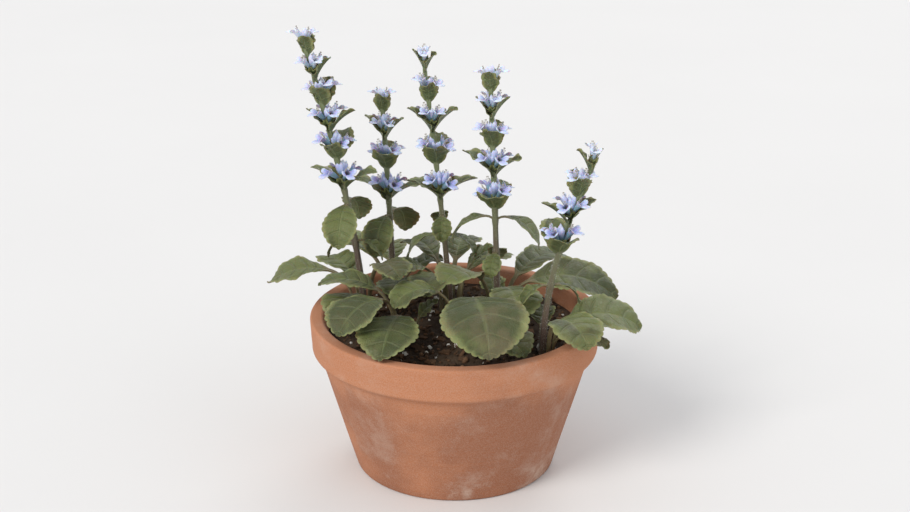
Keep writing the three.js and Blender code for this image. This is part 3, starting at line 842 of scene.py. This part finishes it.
def petal_finish(name, colours):
    """A corolla: a blue-green tube, and a lavender lip with darker guide lines and a pale edge."""
    finish = Finish(name)
    along, fan, pale = map(finish.mark, PETAL_MARKS)
    foot = finish.blend(0.5, colours.tube, (0.62, 0.68, 0.52))
    tube = finish.blend(pale.span(0.3, 1.0, 0, 0.55), colours.tube, colours.pale)
    finish.base(along.span(0.1, 0.32), foot, tube)
    finish.paint(finish.blend(pale, colours.lip, colours.pale), along.span(0.42, 0.68))
    finish.paint(colours.pale, along.span(0.78, 1.0, 0, 0.75))
    rays = fan.swung(0.045).span(0.0, 0.022, 1, 0)
    within = along.span(0.5, 0.58) * along.span(0.72, 0.92, 1, 0)
    finish.paint(colours.line, rays * (within * 0.4))
    normal = finish.bump(finish.cloud(2600, detail=2), 0.0001, 0.5)
    return finish.done(
        0.55, normal, Specular_IOR_Level=0.3, Sheen_Weight=0.2,
        Subsurface_Weight=0.25, Subsurface_Scale=0.0015,
    )


def clay_finish(colours):
    """Unglazed clay: sandy and speckled, damp below the rim, with a lime bloom in patches."""
    finish = Finish("terracotta")
    height = finish.value("SeparateXYZ", {"Vector": finish.place}, "Z")
    patches = finish.cloud(14, detail=5)
    sand = finish.cloud(1500, detail=4)
    rings = finish.cloud(detail=2, stretch=(6, 6, 420))
    damp = patches + height.span(0.055, 0.1, 0.16, -0.12)
    finish.base(damp.span(0.45, 0.72, 0, 0.75), colours.clay, colours.damp)
    finish.paint(colours.bloom, sand.span(0.35, 0.7, 0, 0.17))
    specks = finish.cells(520, "F1", finish.place)
    finish.paint(colours.damp, specks.span(0.05, 0.22, 0.35, 0))
    bloom = finish.cloud(26, detail=6, roughness=0.7).span(0.5, 0.72) * 0.6
    finish.paint(colours.bloom, bloom * height.span(0.0, 0.03, 1.0, 0.35))
    normal = finish.bump(sand * 0.4 + rings * 0.8, 0.0006, 0.7)
    return finish.done(patches.span(0.3, 0.7, 0.95, 0.78), normal, Specular_IOR_Level=0.25)


def peat_finish(colours):
    """Potting mix: dark moist peat with drier fibres."""
    finish = Finish("potting mix")
    fibres = finish.cloud(detail=2, stretch=(1400, 250, 600))
    finish.base(finish.cloud(45, detail=5).span(0.4, 0.7), colours.peat, colours.dry)
    finish.paint(colours.bark, fibres.span(0.62, 0.78, 0, 0.6))
    normal = finish.bump(finish.cloud(520, detail=5, roughness=0.7), 0.0014, 0.9)
    return finish.done(0.92, normal, Specular_IOR_Level=0.2)


def chip_finish(colours):
    """Bark chips and peat crumbs, each of its own shade."""
    finish = Finish("bark")
    grain = finish.cloud(detail=4, stretch=(250, 1500, 900))
    shade = finish.mark("tint") + grain * 0.5
    finish.base(shade.span(0.2, 1.1), colours.peat, colours.bark)
    finish.paint((0.30, 0.19, 0.11), shade.span(1.0, 1.5, 0, 0.7))
    return finish.done(0.85, finish.bump(grain, 0.0005, 0.8), Specular_IOR_Level=0.25)


def perlite_finish():
    """Puffed white grains, slightly stained by the peat."""
    finish = Finish("perlite")
    stains = finish.cloud(700).span(0.5, 0.75, 0, 0.6)
    finish.base(stains, (0.70, 0.68, 0.62), (0.35, 0.28, 0.2))
    normal = finish.bump(finish.cloud(2200), 0.0003, 0.8)
    return finish.done(0.85, normal, Specular_IOR_Level=0.3)


def plain_finish(name, colour, roughness, scale):
    """A small part's skin: one colour, mottled and finely pitted."""
    finish = Finish(name)
    mottle = finish.cloud(scale)
    darker = tuple(channel * 0.6 for channel in colour)
    finish.base(mottle.span(0.35, 0.65), darker, colour)
    return finish.done(roughness, finish.bump(mottle, 0.0001, 0.6))


def inner_radius(height, pot):
    """Inner radius of the pot at a height."""
    lip = pot.radius - WALL - RIM_DRAFT
    return mix(BASE_RADIUS - WALL, lip, (height - FLOOR) / (pot.height - FLOOR))


def soil_height(x, y, pot, lump):
    """Height of the potting mix: a low mound with large and small lumps."""
    edge = inner_radius(SOIL_TOP - SOIL_MOUND, pot)
    mound = SOIL_MOUND * (1 - min(1, math.hypot(x, y) / edge) ** 2)
    lumps = sum(share * noise.noise(Vector((x, y, seed)) / size) for share, size, seed in SOIL_LUMPS)
    return SOIL_TOP - SOIL_MOUND + mound + lump * lumps


def spun(profile, steps):
    """A bmesh of a profile, in radius and height, turned round the Z axis."""
    bm = bmesh.new()
    verts = [bm.verts.new((radius, 0, height)) for radius, height in profile]
    edges = [bm.edges.new(pair) for pair in zip(verts, verts[1:], strict=False)]
    bmesh.ops.spin(
        bm, geom=verts + edges, cent=(0, 0, 0), axis=(0, 0, 1), angle=2 * math.pi,
        steps=steps, use_merge=True,
    )
    bmesh.ops.remove_doubles(bm, verts=bm.verts, dist=WELD)
    return bm


class BUGLEWEED_OT_clay_pan(bpy.types.Operator):
    """Turns the clay pan, and drills its drain holes"""

    bl_idname = "bugleweed.clay_pan"
    bl_label = "Clay pan"

    STEPS = 144
    BAND_SLOPE = 0.001  # height of the slope from the wall out to the rim's band
    TURN = 0.35  # a ring that turns more than this, in radians, has a worn edge
    ROUND = 0.0016  # radius of the worn edges
    ROUND_STEPS = 4
    TALL = 0.01  # a wall taller than this is cut into bands
    CUTS = 14  # between its bands
    EVEN = 1.4  # the floor is even to this far out, as a share of the drain holes' ring
    UNEVEN = 0.00025  # how far the walls go in and out
    TURNED = SimpleNamespace(size=0.006, share=0.5)  # rings left by the wheel
    PRESSED = SimpleNamespace(size=0.05, share=1.2)  # and hollows left by the hand
    DRILL = SimpleNamespace(sides=32, floors=3)

    def profile(self, pot):
        """The pan's section, from the middle of its underside round to the middle of its floor."""
        band_foot = pot.height - RIM_BAND
        wall_top = pot.radius - RIM_STEP - RIM_DRAFT
        return [
            (0, 0),
            (BASE_RADIUS, 0),
            (wall_top, band_foot),
            (pot.radius - RIM_DRAFT, band_foot + self.BAND_SLOPE),
            (pot.radius, pot.height),
            (inner_radius(pot.height, pot), pot.height),
            (inner_radius(FLOOR, pot), FLOOR),
            (0, FLOOR),
        ]

    def rounded(self, bm):
        """Bevels the rings where the section turns, and cuts the walls into bands."""
        rings = [edge for edge in bm.edges if edge.calc_face_angle(0) > self.TURN]
        bmesh.ops.bevel(
            bm, geom=rings, offset=self.ROUND, segments=self.ROUND_STEPS, profile=0.5,
            affect="EDGES", material=-1,
        )
        tall = [edge for edge in bm.edges if abs(edge.verts[0].co.z - edge.verts[1].co.z) > self.TALL]
        bmesh.ops.subdivide_edges(bm, edges=tall, cuts=self.CUTS, use_grid_fill=True)
        for vert in bm.verts:
            out = Vector((vert.co.x, vert.co.y, 0))
            if out.length > DRAIN_RING * self.EVEN:
                turned = self.TURNED.share * noise.noise(Vector((0, 0, vert.co.z)) / self.TURNED.size)
                pressed = self.PRESSED.share * noise.noise(vert.co / self.PRESSED.size)
                vert.co += out.normalized() * self.UNEVEN * (turned + pressed)

    def drilled(self, pan, pot):
        """Cuts the drain holes through the pan's floor."""
        bm = bmesh.new()
        for i in range(DRAIN_COUNT):
            hole = Matrix.Translation(direction(360 * i / DRAIN_COUNT + 90, 0) * DRAIN_RING)
            bmesh.ops.create_cone(
                bm, cap_ends=True, segments=self.DRILL.sides, radius1=pot.drain, radius2=pot.drain,
                depth=FLOOR * self.DRILL.floors, matrix=hole,
            )
        drill = in_scene("drill", bm)
        cut = pan.modifiers.new("drain holes", "BOOLEAN")
        cut.operation = "DIFFERENCE"
        cut.solver = "EXACT"
        cut.object = drill
        depsgraph = bpy.context.evaluated_depsgraph_get()
        pan.data = bpy.data.meshes.new_from_object(pan.evaluated_get(depsgraph))
        pan.modifiers.clear()
        bpy.data.objects.remove(drill)

    def execute(self, context):
        pot = context.scene.bugleweed_pot
        bm = spun(self.profile(pot), self.STEPS)
        self.rounded(bm)
        pan = add_piece("clay_pan", bm, [clay_finish(pot)], ["pot"], closed=False)
        self.drilled(pan, pot)
        return {"FINISHED"}


class BUGLEWEED_OT_potting_mix(bpy.types.Operator):
    """Fills the pan with potting mix, with crumbs, bark chips and perlite on top"""

    bl_idname = "bugleweed.potting_mix"
    bl_label = "Potting mix"

    STEPS = 200
    RINGS = 64
    SLUMP = SimpleNamespace(drop=0.0008, width=0.003)  # where the mix falls away at the wall
    CLEAR = 0.004  # how far the grains stay from the wall
    CHIP = SimpleNamespace(
        seed=11, lengths=(0.003, 0.0085), widths=(0.0015, 0.0038), thick=0.0012, tilt=0.5,
        edge=0.0003, broken=0.00035, smooth=False,
    )
    CRUMB = SimpleNamespace(seed=12, sizes=(0.0005, 0.0018), detail=1, smooth=True)
    GRAIN = SimpleNamespace(seed=13, sizes=(0.0007, 0.0018), detail=2, smooth=True)
    LIFT = 0.25  # how high a crumb's or grain's middle stands over the mix, as a share of its size
    ROLL = 1.5  # most that it tilts, in radians
    ROUGH = 0.28  # most that its surface goes in or out, as a share of its size

    def bed(self, pot, soil):
        """The mix itself, from the pan's floor to its lumpy top."""
        brim = SOIL_TOP - SOIL_MOUND
        edge = inner_radius(brim, pot) - SOIL_GAP
        foot = FLOOR + SOIL_GAP
        top = [(edge * (1 - i / self.RINGS), brim) for i in range(self.RINGS + 1)]
        bm = spun([(0, foot), (inner_radius(foot, pot) - SOIL_GAP, foot), *top], self.STEPS)
        for vert in bm.verts:
            reach = math.hypot(vert.co.x, vert.co.y)
            if vert.co.z > brim - WELD:
                height = soil_height(vert.co.x, vert.co.y, pot, soil.lump)
                slump = ease(reach, edge - self.SLUMP.width, edge)
                vert.co.z = mix(height, brim - self.SLUMP.drop, slump)
        return bm

    def scattered(self, count, seed, pot, soil):
        """Places on the mix, the same each time, with their own source of draws."""
        chance = random.Random(seed)
        edge = inner_radius(SOIL_TOP, pot) - self.CLEAR
        for _ in range(count):
            reach, turn = edge * math.sqrt(chance.random()), chance.uniform(0, 2 * math.pi)
            x, y = reach * math.cos(turn), reach * math.sin(turn)
            yield Vector((x, y, soil_height(x, y, pot, soil.lump))), chance

    def tumbled(self, chance, flat):
        """A random turn. flat: the most that it tilts, in radians."""
        upright = Matrix.Rotation(chance.uniform(0, 2 * math.pi), 4, "Z")
        return Matrix.Rotation(chance.uniform(-flat, flat), 4, "X") @ upright

    def lumps(self, bm, layer, kind, count, pot, soil):
        """Rough round grains, sunk a little into the mix."""
        for place, chance in self.scattered(count, kind.seed, pot, soil):
            size = chance.uniform(*kind.sizes)
            lifted = Matrix.Translation(place + Vector((0, 0, size * self.LIFT)))
            matrix = lifted @ self.tumbled(chance, self.ROLL)
            made = bmesh.ops.create_icosphere(bm, subdivisions=kind.detail, radius=size, matrix=matrix)
            shade = chance.random()
            for vert in made["verts"]:
                vert.co += (vert.co - place) * chance.uniform(-self.ROUGH, self.ROUGH)
                vert[layer] = shade

    def chips(self, bm, layer, kind, count, pot, soil):
        """Flat chips of bark with broken ends."""
        for place, chance in self.scattered(count, kind.seed, pot, soil):
            size = (chance.uniform(*kind.lengths), chance.uniform(*kind.widths), kind.thick, 1)
            lifted = Matrix.Translation(place + Vector((0, 0, kind.thick / 2)))
            matrix = lifted @ self.tumbled(chance, kind.tilt) @ Matrix.Diagonal(size)
            made = bmesh.ops.create_cube(bm, size=1, matrix=matrix)["verts"]
            edges = list({edge for vert in made for edge in vert.link_edges})
            bevel = bmesh.ops.bevel(
                bm, geom=edges, offset=kind.edge, segments=1, profile=0.5, affect="EDGES", material=-1
            )
            shade = chance.random()
            for vert in bevel["verts"]:
                vert.co += Vector([chance.uniform(-kind.broken, kind.broken) for _ in range(3)])
                vert[layer] = shade

    def execute(self, context):
        pot, soil = context.scene.bugleweed_pot, context.scene.bugleweed_soil
        add_piece("potting_mix", self.bed(pot, soil), [peat_finish(soil)], ["soil"])
        for name, add, kind, count, finish in (
            ("bark_chips", self.chips, self.CHIP, soil.chips, chip_finish(soil)),
            ("peat_crumbs", self.lumps, self.CRUMB, soil.crumbs, chip_finish(soil)),
            ("perlite_grains", self.lumps, self.GRAIN, soil.grit, perlite_finish()),
        ):
            bm, (layer,) = new_bmesh("tint")
            add(bm, layer, kind, count, pot, soil)
            add_piece(name, bm, [finish], smooth=kind.smooth)
        return {"FINISHED"}


class BUGLEWEED_OT_basal_leaves(bpy.types.Operator):
    """Grows the basal leaves, each as a piece of its own"""

    bl_idname = "bugleweed.basal_leaves"
    bl_label = "Basal leaves"

    def execute(self, context):
        skin = blade_finish("basal leaf skin", context.scene.bugleweed_leaf)
        for number, leaf in enumerate(LEAVES, 1):
            bm, (*layers, blush) = new_bmesh(*MARKS, "blush")
            pitches = (90, leaf.rise, leaf.tip)
            blade = Blade(leaf_root(leaf), leaf, pitches, BASAL, number - 1, vary(1, number))
            for vert in blade.add_to(bm, layers):
                vert[blush] = BLUSHED.get(number, BLUSH)
            add_piece(f"leaf_{number:02d}_blade", bm, [skin], [f"leaf_{number:02d}"])
        return {"FINISHED"}


class BUGLEWEED_OT_stems(bpy.types.Operator):
    """Grows the square stems and the leaves on them"""

    bl_idname = "bugleweed.stems"
    bl_label = "Stems and their leaves"

    STEP = 0.0018  # between the rings of a stem
    SIDES = 24
    SQUARE = 5  # the higher, the sharper the stem's corners
    FLUTE = SimpleNamespace(depth=0.14, sharp=6)  # how hollow its sides are
    NODE = 0.0005  # how far it swells where leaves grow
    NODE_LENGTH = 0.003

    def add_stem(self, bm, layer, spike, number):
        nodes = [height for height, _ in spike.pairs]
        nodes += [height for _, height, _, _ in whorls(spike, number)]
        count = round((spike.height + STEM_DEPTH) / self.STEP)

        def place(u, turn):
            height = mix(-STEM_DEPTH, spike.height, u)
            angle = 2 * math.pi * turn
            power = abs(math.cos(angle)) ** self.SQUARE + abs(math.sin(angle)) ** self.SQUARE
            corner = power ** (-1 / self.SQUARE)
            flute = 1 - self.FLUTE.depth * math.cos(2 * angle) ** self.FLUTE.sharp
            swell = sum(math.exp(-(((height - node) / self.NODE_LENGTH) ** 2)) for node in nodes)
            radius = (stem_half(spike, height) + swell * self.NODE) * corner * flute
            if u >= 1 - WELD:  # the last ring closes to a point
                radius = 0
            out = direction(spike.turn + 360 * turn, 0) * radius
            return stem_place(spike, height) + out, max(0, height / spike.height)

        return add_sheet(bm, count, self.SIDES, place, [layer])

    def execute(self, context):
        colours = context.scene.bugleweed_spike
        skins = [stem_finish(colours), blade_finish("stem leaf skin", context.scene.bugleweed_leaf)]
        for number, spike in enumerate(SPIKES, 1):
            bm, (*layers, share) = new_bmesh(*MARKS, "share")
            self.add_stem(bm, share, spike, number)
            for blade in pair_blades(spike, number):
                for face in faces_of(blade.add_to(bm, layers)):
                    face.material_index = 1
            add_piece(f"spike_{number}_stem", bm, skins, [f"flower_spike_{number}"])
        return {"FINISHED"}


class BUGLEWEED_OT_bracts(bpy.types.Operator):
    """Grows the bracts, the calyxes of the flowers and the closed buds"""

    bl_idname = "bugleweed.bracts"
    bl_label = "Bracts and calyxes"

    # Lengths and radii are shares of the flower's length.
    CALYX_LENGTH = 0.46
    CALYX_RADII = (0.07, 0.15)
    CALYX_RIB = 0.008
    CALYX_WALL = SimpleNamespace(tip=0.004, more=0.02)
    TEETH = SimpleNamespace(count=5, length=0.3, flare=0.03)  # their length is a share of the calyx's
    CALYX_MARKS = (0.25, 1.0, 0.0, 0.3)  # its vein, flat, under and tint
    CALYX_GRID = (30, 14)  # columns and rows of an open flower's calyx
    BUD_CALYX_GRID = (10, 4)
    BUD_RADII = (0.07, 0.14)  # at its foot and near its tip
    BUD_SWELL = (0.35, 0.75)  # where it widens
    BUD_BLUNT = 6
    BUD_GRID = (8, 5)

    def add_calyx(self, bm, layers, flower, grid):
        """A bell with pointed teeth, as a closed skin of two walls."""
        teeth = self.TEETH

        def place(turn, v):
            angle = 2 * math.pi * turn
            inside = v > 0.5
            share = 2 * (1 - v) if inside else 2 * v
            tooth = abs(((turn * teeth.count) % 1) * 2 - 1)
            long = 1 - teeth.length + teeth.length * tooth * ease(share, 0.5, 1)
            flare = teeth.flare * tooth * ease(share, 0.7, 1)
            radius = mix(*self.CALYX_RADII, ease(share, 0, 0.8)) + flare
            ribs = self.CALYX_RIB * math.cos(angle * teeth.count * 2)
            wall = self.CALYX_WALL.more * (1 - share) + self.CALYX_WALL.tip if inside else 0
            co = flower.at(share * (self.CALYX_LENGTH * long), max(0.0, radius + ribs - wall), angle)
            return co, share, *self.CALYX_MARKS

        for face in faces_of(add_sheet(bm, *grid, place, layers)):
            face.material_index = 1

    def add_bud(self, bm, layers, bud):
        """A closed corolla: a short tube that swells into a blunt tip."""

        def place(turn, v):
            radius = mix(*self.BUD_RADII, ease(v, *self.BUD_SWELL)) * (1 - v**self.BUD_BLUNT) ** 0.5
            return bud.at(v, radius, 2 * math.pi * turn), v, turn, bud.pale

        for face in faces_of(add_sheet(bm, *self.BUD_GRID, place, layers)):
            face.material_index = 2

    def execute(self, context):
        colours = context.scene.bugleweed_spike
        leaf = context.scene.bugleweed_leaf
        tones = SimpleNamespace(
            green=colours.bract,
            dark=leaf.dark,
            margin=leaf.margin,
            vein=leaf.vein,
            under=colours.bract,
            blush=colours.tube,
            stalk=colours.shoot,
        )
        skins = [
            blade_finish("bract skin", tones, 900.0, 0.66, 0.4),
            blade_finish("calyx skin", tones, 1200.0, 0.8),
            petal_finish("bud petal", colours),
        ]
        for number, spike in enumerate(SPIKES, 1):
            bm, layers = new_bmesh(*MARKS, *PETAL_MARKS)
            layers, petal_layers = layers[: len(MARKS)], layers[len(MARKS) :]
            for blade in bract_blades(spike, number):
                blade.add_to(bm, layers)
            for flower in flowers(spike, number):
                self.add_calyx(bm, layers, flower, self.CALYX_GRID)
            for bud in buds(spike, number):
                self.add_bud(bm, petal_layers, bud)
                self.add_calyx(bm, layers, bud, self.BUD_CALYX_GRID)
            node = f"flower_spike_{number}"
            add_piece(f"spike_{number}_bracts", bm, skins, [node], closed=False)
        return {"FINISHED"}


class BUGLEWEED_OT_corollas(bpy.types.Operator):
    """Opens the two-lipped flowers, with their stamens"""

    bl_idname = "bugleweed.corollas"
    bl_label = "Flowers"

    # A lobe's angle from straight down, half its width and its length, as a share of the flower's.
    LOBES = ((0, 38, 0.50), (75, 34, 0.33), (-75, 34, 0.33), (160, 19, 0.12), (-160, 19, 0.12))
    LOBE = SimpleNamespace(square=2.4, blunt=0.55)  # the form of a lobe's tip
    NOTCH = SimpleNamespace(depth=0.2, width=10)  # in the tip of the middle lobe
    SINUS = 0.05  # the lip's depth between its lobes
    THROAT = 0.66  # reach of the throat
    TUBE = (0.05, 0.1)  # radius at the foot and at the throat
    TURNS = (1.75, 0.6)  # how far the lower and the upper lip bend outwards, in radians
    SIDES = 40
    ROWS = 14
    THICK = 0.00018
    CURL = SimpleNamespace(rise=0.05, of=0.4)  # at the edge of a lobe, and the length of such a lobe
    SAG = 0.03  # of the tube
    STAMENS = ((-0.75, 0.86), (-0.25, 0.94), (0.25, 0.94), (0.75, 0.86))  # angle from the top, reach
    FILAMENT = SimpleNamespace(foot=0.4, low=0.075, rise=0.035, radius=0.009, sides=4, rows=3)
    ANTHER = SimpleNamespace(off=0.11, radius=0.00042)

    def lobe(self, angle):
        """The lip's length at an angle from straight down, in degrees."""
        most = self.SINUS
        for middle, half, length in self.LOBES:
            off = abs((angle - middle + 180) % 360 - 180) / half
            if off < 1:
                tip = (1 - off**self.LOBE.square) ** self.LOBE.blunt
                most = max(most, self.SINUS + (length - self.SINUS) * tip)
        return most * (1 - self.NOTCH.depth * math.exp(-((angle / self.NOTCH.width) ** 2)))

    def add_corolla(self, bm, layers, flower):
        def place(turn, v):
            angle = 360 * turn - 180
            around = math.radians(angle)
            if v <= 0.5:
                reach = self.THROAT * 2 * v
                radius = mix(*self.TUBE, ease(v, 0.1, 0.5))
            else:
                share = 2 * v - 1
                bend = mix(*self.TURNS, (1 - math.cos(around)) / 2)
                length = self.lobe(angle)
                reach = self.THROAT + length * math.sin(bend * share) / bend
                radius = self.TUBE[1] + length * (1 - math.cos(bend * share)) / bend
                curl = noise.noise(Vector((around, share * 2, flower.number)))
                reach += self.CURL.rise * share * curl * length / self.CURL.of
            sag = self.SAG * math.sin(math.pi * min(1, v * 2))
            co = flower.at(reach, radius, around) - flower.down * sag * flower.length
            return co, v, turn, flower.pale

        add_sheet(bm, self.SIDES, self.ROWS, place, layers)

    def add_stamens(self, bm, flower):
        """Filaments under the upper lip, each with its anther."""
        form = self.FILAMENT
        for spread, tall in self.STAMENS:

            def place(turn, v, spread=spread, tall=tall):
                middle = flower.at(mix(form.foot, tall, v), form.low + form.rise * v, math.pi + spread)
                out = flower.at(0, form.radius, 2 * math.pi * turn) - flower.foot
                return (middle + out,)

            add_sheet(bm, form.sides, form.rows, place)
            tip = Matrix.Translation(flower.at(tall, self.ANTHER.off, math.pi + spread))
            bmesh.ops.create_icosphere(bm, subdivisions=1, radius=self.ANTHER.radius, matrix=tip)

    def execute(self, context):
        colours = context.scene.bugleweed_spike
        petal = petal_finish("petal", colours)
        thread = plain_finish("stamen", (0.55, 0.5, 0.42), 0.6, 3000.0)
        for number, spike in enumerate(SPIKES, 1):
            node = f"flower_spike_{number}"
            bm, layers = new_bmesh(*PETAL_MARKS)
            for flower in flowers(spike, number):
                self.add_corolla(bm, layers, flower)
            made = add_piece(f"spike_{number}_corollas", bm, [petal], [node], closed=False)
            wall = made.modifiers.new("petal wall", "SOLIDIFY")
            wall.thickness = self.THICK
            wall.offset = 0
            bm = bmesh.new()
            for flower in flowers(spike, number):
                self.add_stamens(bm, flower)
            add_piece(f"spike_{number}_stamens", bm, [thread], [node])
        return {"FINISHED"}


class BUGLEWEED_OT_hairs(bpy.types.Operator):
    """Sets fine white hairs on the stems, the bracts and the calyxes"""

    bl_idname = "bugleweed.hairs"
    bl_label = "Hairs"

    ON_STEM = 900
    ON_BRACT = 34
    ON_CALYX = 22
    RADIUS = 0.00006
    TAPER = 0.2
    LENGTHS = (0.0007, 0.0017)
    FACE = 40  # half the angle of a stem's side that bears hairs
    LEAN = 0.5  # most that a stem's hairs point up or down, as a share of their way out
    MARGIN = (0.8, 1)  # where a bract bears them, as shares of the way from its rib to its margin
    INWARD = 0.7  # their way out begins at this share of that
    STRAY = 0.001  # most that a bract's hairs stray from their way out
    CALYX = SimpleNamespace(reaches=(0.15, 0.42), radius=0.13, slope=0.12)  # shares of a flower's length

    def add_hair(self, bm, root, way, length):
        """A thin three-sided cone."""
        turn = way.to_track_quat("Z", "Y").to_matrix().to_4x4()
        matrix = Matrix.Translation(root + way * (length / 2)) @ turn
        bmesh.ops.create_cone(
            bm, cap_ends=True, segments=3, radius1=self.RADIUS, radius2=self.RADIUS * self.TAPER,
            depth=length, matrix=matrix,
        )

    def on_stem(self, bm, chance, spike):
        for _ in range(self.ON_STEM):
            height = spike.height * chance.random()
            side = 90 * chance.randrange(4)
            out = direction(spike.turn + side + chance.uniform(-self.FACE, self.FACE), 0)
            root = stem_place(spike, height) + out * stem_half(spike, height)
            way = (out + Vector((0, 0, chance.uniform(-self.LEAN, self.LEAN)))).normalized()
            self.add_hair(bm, root, way, chance.uniform(*self.LENGTHS))

    def on_bracts(self, bm, chance, spike, number):
        for blade in bract_blades(spike, number):
            for _ in range(self.ON_BRACT):
                row = blade.rows[chance.randrange(2, len(blade.rows) - 1)]
                v = chance.choice((-1, 1)) * chance.uniform(*self.MARGIN)
                root, inner = blade.point(row, v, -1), blade.point(row, v * self.INWARD, -1)
                way = root - inner + Vector([chance.uniform(-1, 1) for _ in range(3)]) * self.STRAY
                self.add_hair(bm, root, way.normalized(), chance.uniform(*self.LENGTHS))

    def on_calyxes(self, bm, chance, spike, number):
        for flower in flowers(spike, number):
            for _ in range(self.ON_CALYX):
                angle, reach = chance.uniform(0, 2 * math.pi), chance.uniform(*self.CALYX.reaches)
                root = flower.at(reach, self.CALYX.radius, angle)
                way = root - flower.at(reach - self.CALYX.slope, 0, angle)
                self.add_hair(bm, root, way.normalized(), chance.uniform(*self.LENGTHS))

    def execute(self, context):
        skin = plain_finish("hair", (0.72, 0.72, 0.66), 0.5, 900.0)
        for number, spike in enumerate(SPIKES, 1):
            chance = random.Random(number)
            bm = bmesh.new()
            self.on_stem(bm, chance, spike)
            self.on_bracts(bm, chance, spike, number)
            self.on_calyxes(bm, chance, spike, number)
            add_piece(f"spike_{number}_hairs", bm, [skin], smooth=False, closed=False)
        return {"FINISHED"}


class BUGLEWEED_OT_studio(bpy.types.Operator):
    """Sets up the pale floor, the soft light and the camera"""

    bl_idname = "bugleweed.studio"
    bl_label = "Studio"

    AIM = Vector((0.0, 0.0, 0.143))
    ELEVATION = 20
    DISTANCE = 1.0
    LENS = 61
    FLOOR_SIZE = 12.0
    FLOOR_COLOURS = ((0.72, 0.71, 0.70), (0.75, 0.74, 0.73))
    ROOM_COLOUR = (0.90, 0.92, 0.95, 1)
    ROOM_STRENGTH = 0.76
    # A soft far lamp's name, the way to it, how wide it looks in degrees, its strength and its colour.
    LAMPS = (
        ("key", (-0.75, -0.85, 1.0), 24, 1.75, (1.0, 0.98, 0.95)),
        ("fill", (1.0, -0.7, 0.5), 40, 0.32, (0.95, 0.97, 1.0)),
        ("rim", (0.35, 1.0, 0.8), 30, 0.6, (1.0, 1.0, 1.0)),
    )

    def add_floor(self):
        bm = bmesh.new()
        bmesh.ops.create_grid(bm, x_segments=1, y_segments=1, size=self.FLOOR_SIZE)
        floor = in_scene("floor", bm)
        finish = Finish("pale floor")
        finish.base(finish.cloud(3), *self.FLOOR_COLOURS)
        floor.data.materials.append(finish.done(0.8, Specular_IOR_Level=0.2))

    def add_lamps(self):
        for name, way, width, strength, colour in self.LAMPS:
            lamp = bpy.data.lights.new(name, "SUN")
            lamp.angle = math.radians(width)
            lamp.energy = strength
            lamp.color = colour
            made = bpy.data.objects.new(name, lamp)
            made.location = self.AIM + Vector(way)
            made.rotation_euler = Vector(way).to_track_quat("Z", "Y").to_euler()
            bpy.context.scene.collection.objects.link(made)

    def add_camera(self):
        camera = bpy.data.cameras.new("camera")
        camera.sensor_width = 36
        camera.lens = self.LENS
        made = bpy.data.objects.new("camera", camera)
        back = direction(-90, self.ELEVATION)
        made.location = self.AIM + back * self.DISTANCE
        made.rotation_euler = (-back).to_track_quat("-Z", "Y").to_euler()
        bpy.context.scene.collection.objects.link(made)
        bpy.context.scene.camera = made

    def execute(self, context):
        self.add_floor()
        self.add_lamps()
        self.add_camera()
        world = bpy.data.worlds.new("soft room")
        world.use_nodes = True
        room = world.node_tree.nodes["Background"]
        room.inputs["Color"].default_value = self.ROOM_COLOUR
        room.inputs["Strength"].default_value = self.ROOM_STRENGTH
        context.scene.world = world
        context.scene.view_settings.view_transform = "Standard"
        return {"FINISHED"}


OPERATORS = (
    BUGLEWEED_OT_studio,
    BUGLEWEED_OT_clay_pan,
    BUGLEWEED_OT_potting_mix,
    BUGLEWEED_OT_basal_leaves,
    BUGLEWEED_OT_stems,
    BUGLEWEED_OT_bracts,
    BUGLEWEED_OT_corollas,
    BUGLEWEED_OT_hairs,
)
SETTINGS = {
    "bugleweed_pot": PotSettings,
    "bugleweed_soil": SoilSettings,
    "bugleweed_leaf": LeafSettings,
    "bugleweed_spike": SpikeSettings,
}


class BUGLEWEED_PT_panel(bpy.types.Panel):
    """Lists the steps that build the plant, and what can be set for them"""

    bl_idname = "BUGLEWEED_PT_panel"
    bl_label = "Potted bugleweed"
    bl_space_type = "VIEW_3D"
    bl_region_type = "UI"
    bl_category = "Bugleweed"

    def draw(self, context):
        for operator in OPERATORS:
            self.layout.operator(operator.bl_idname)
        for name, group in SETTINGS.items():
            box = self.layout.box()
            for prop in group.__annotations__:
                box.prop(getattr(context.scene, name), prop)


CLASSES = (*SETTINGS.values(), *OPERATORS, BUGLEWEED_PT_panel)


def register():
    for cls in CLASSES:
        bpy.utils.register_class(cls)
    for name, group in SETTINGS.items():
        setattr(bpy.types.Scene, name, PointerProperty(type=group))


def unregister():
    for name in SETTINGS:
        delattr(bpy.types.Scene, name)
    for cls in reversed(CLASSES):
        bpy.utils.unregister_class(cls)


def main():
    register()
    bpy.ops.bugleweed.studio()
    bpy.ops.bugleweed.clay_pan()
    bpy.ops.bugleweed.potting_mix()
    bpy.ops.bugleweed.basal_leaves()
    bpy.ops.bugleweed.stems()
    bpy.ops.bugleweed.bracts()
    bpy.ops.bugleweed.corollas()
    bpy.ops.bugleweed.hairs()


if __name__ == "__main__":
    main()
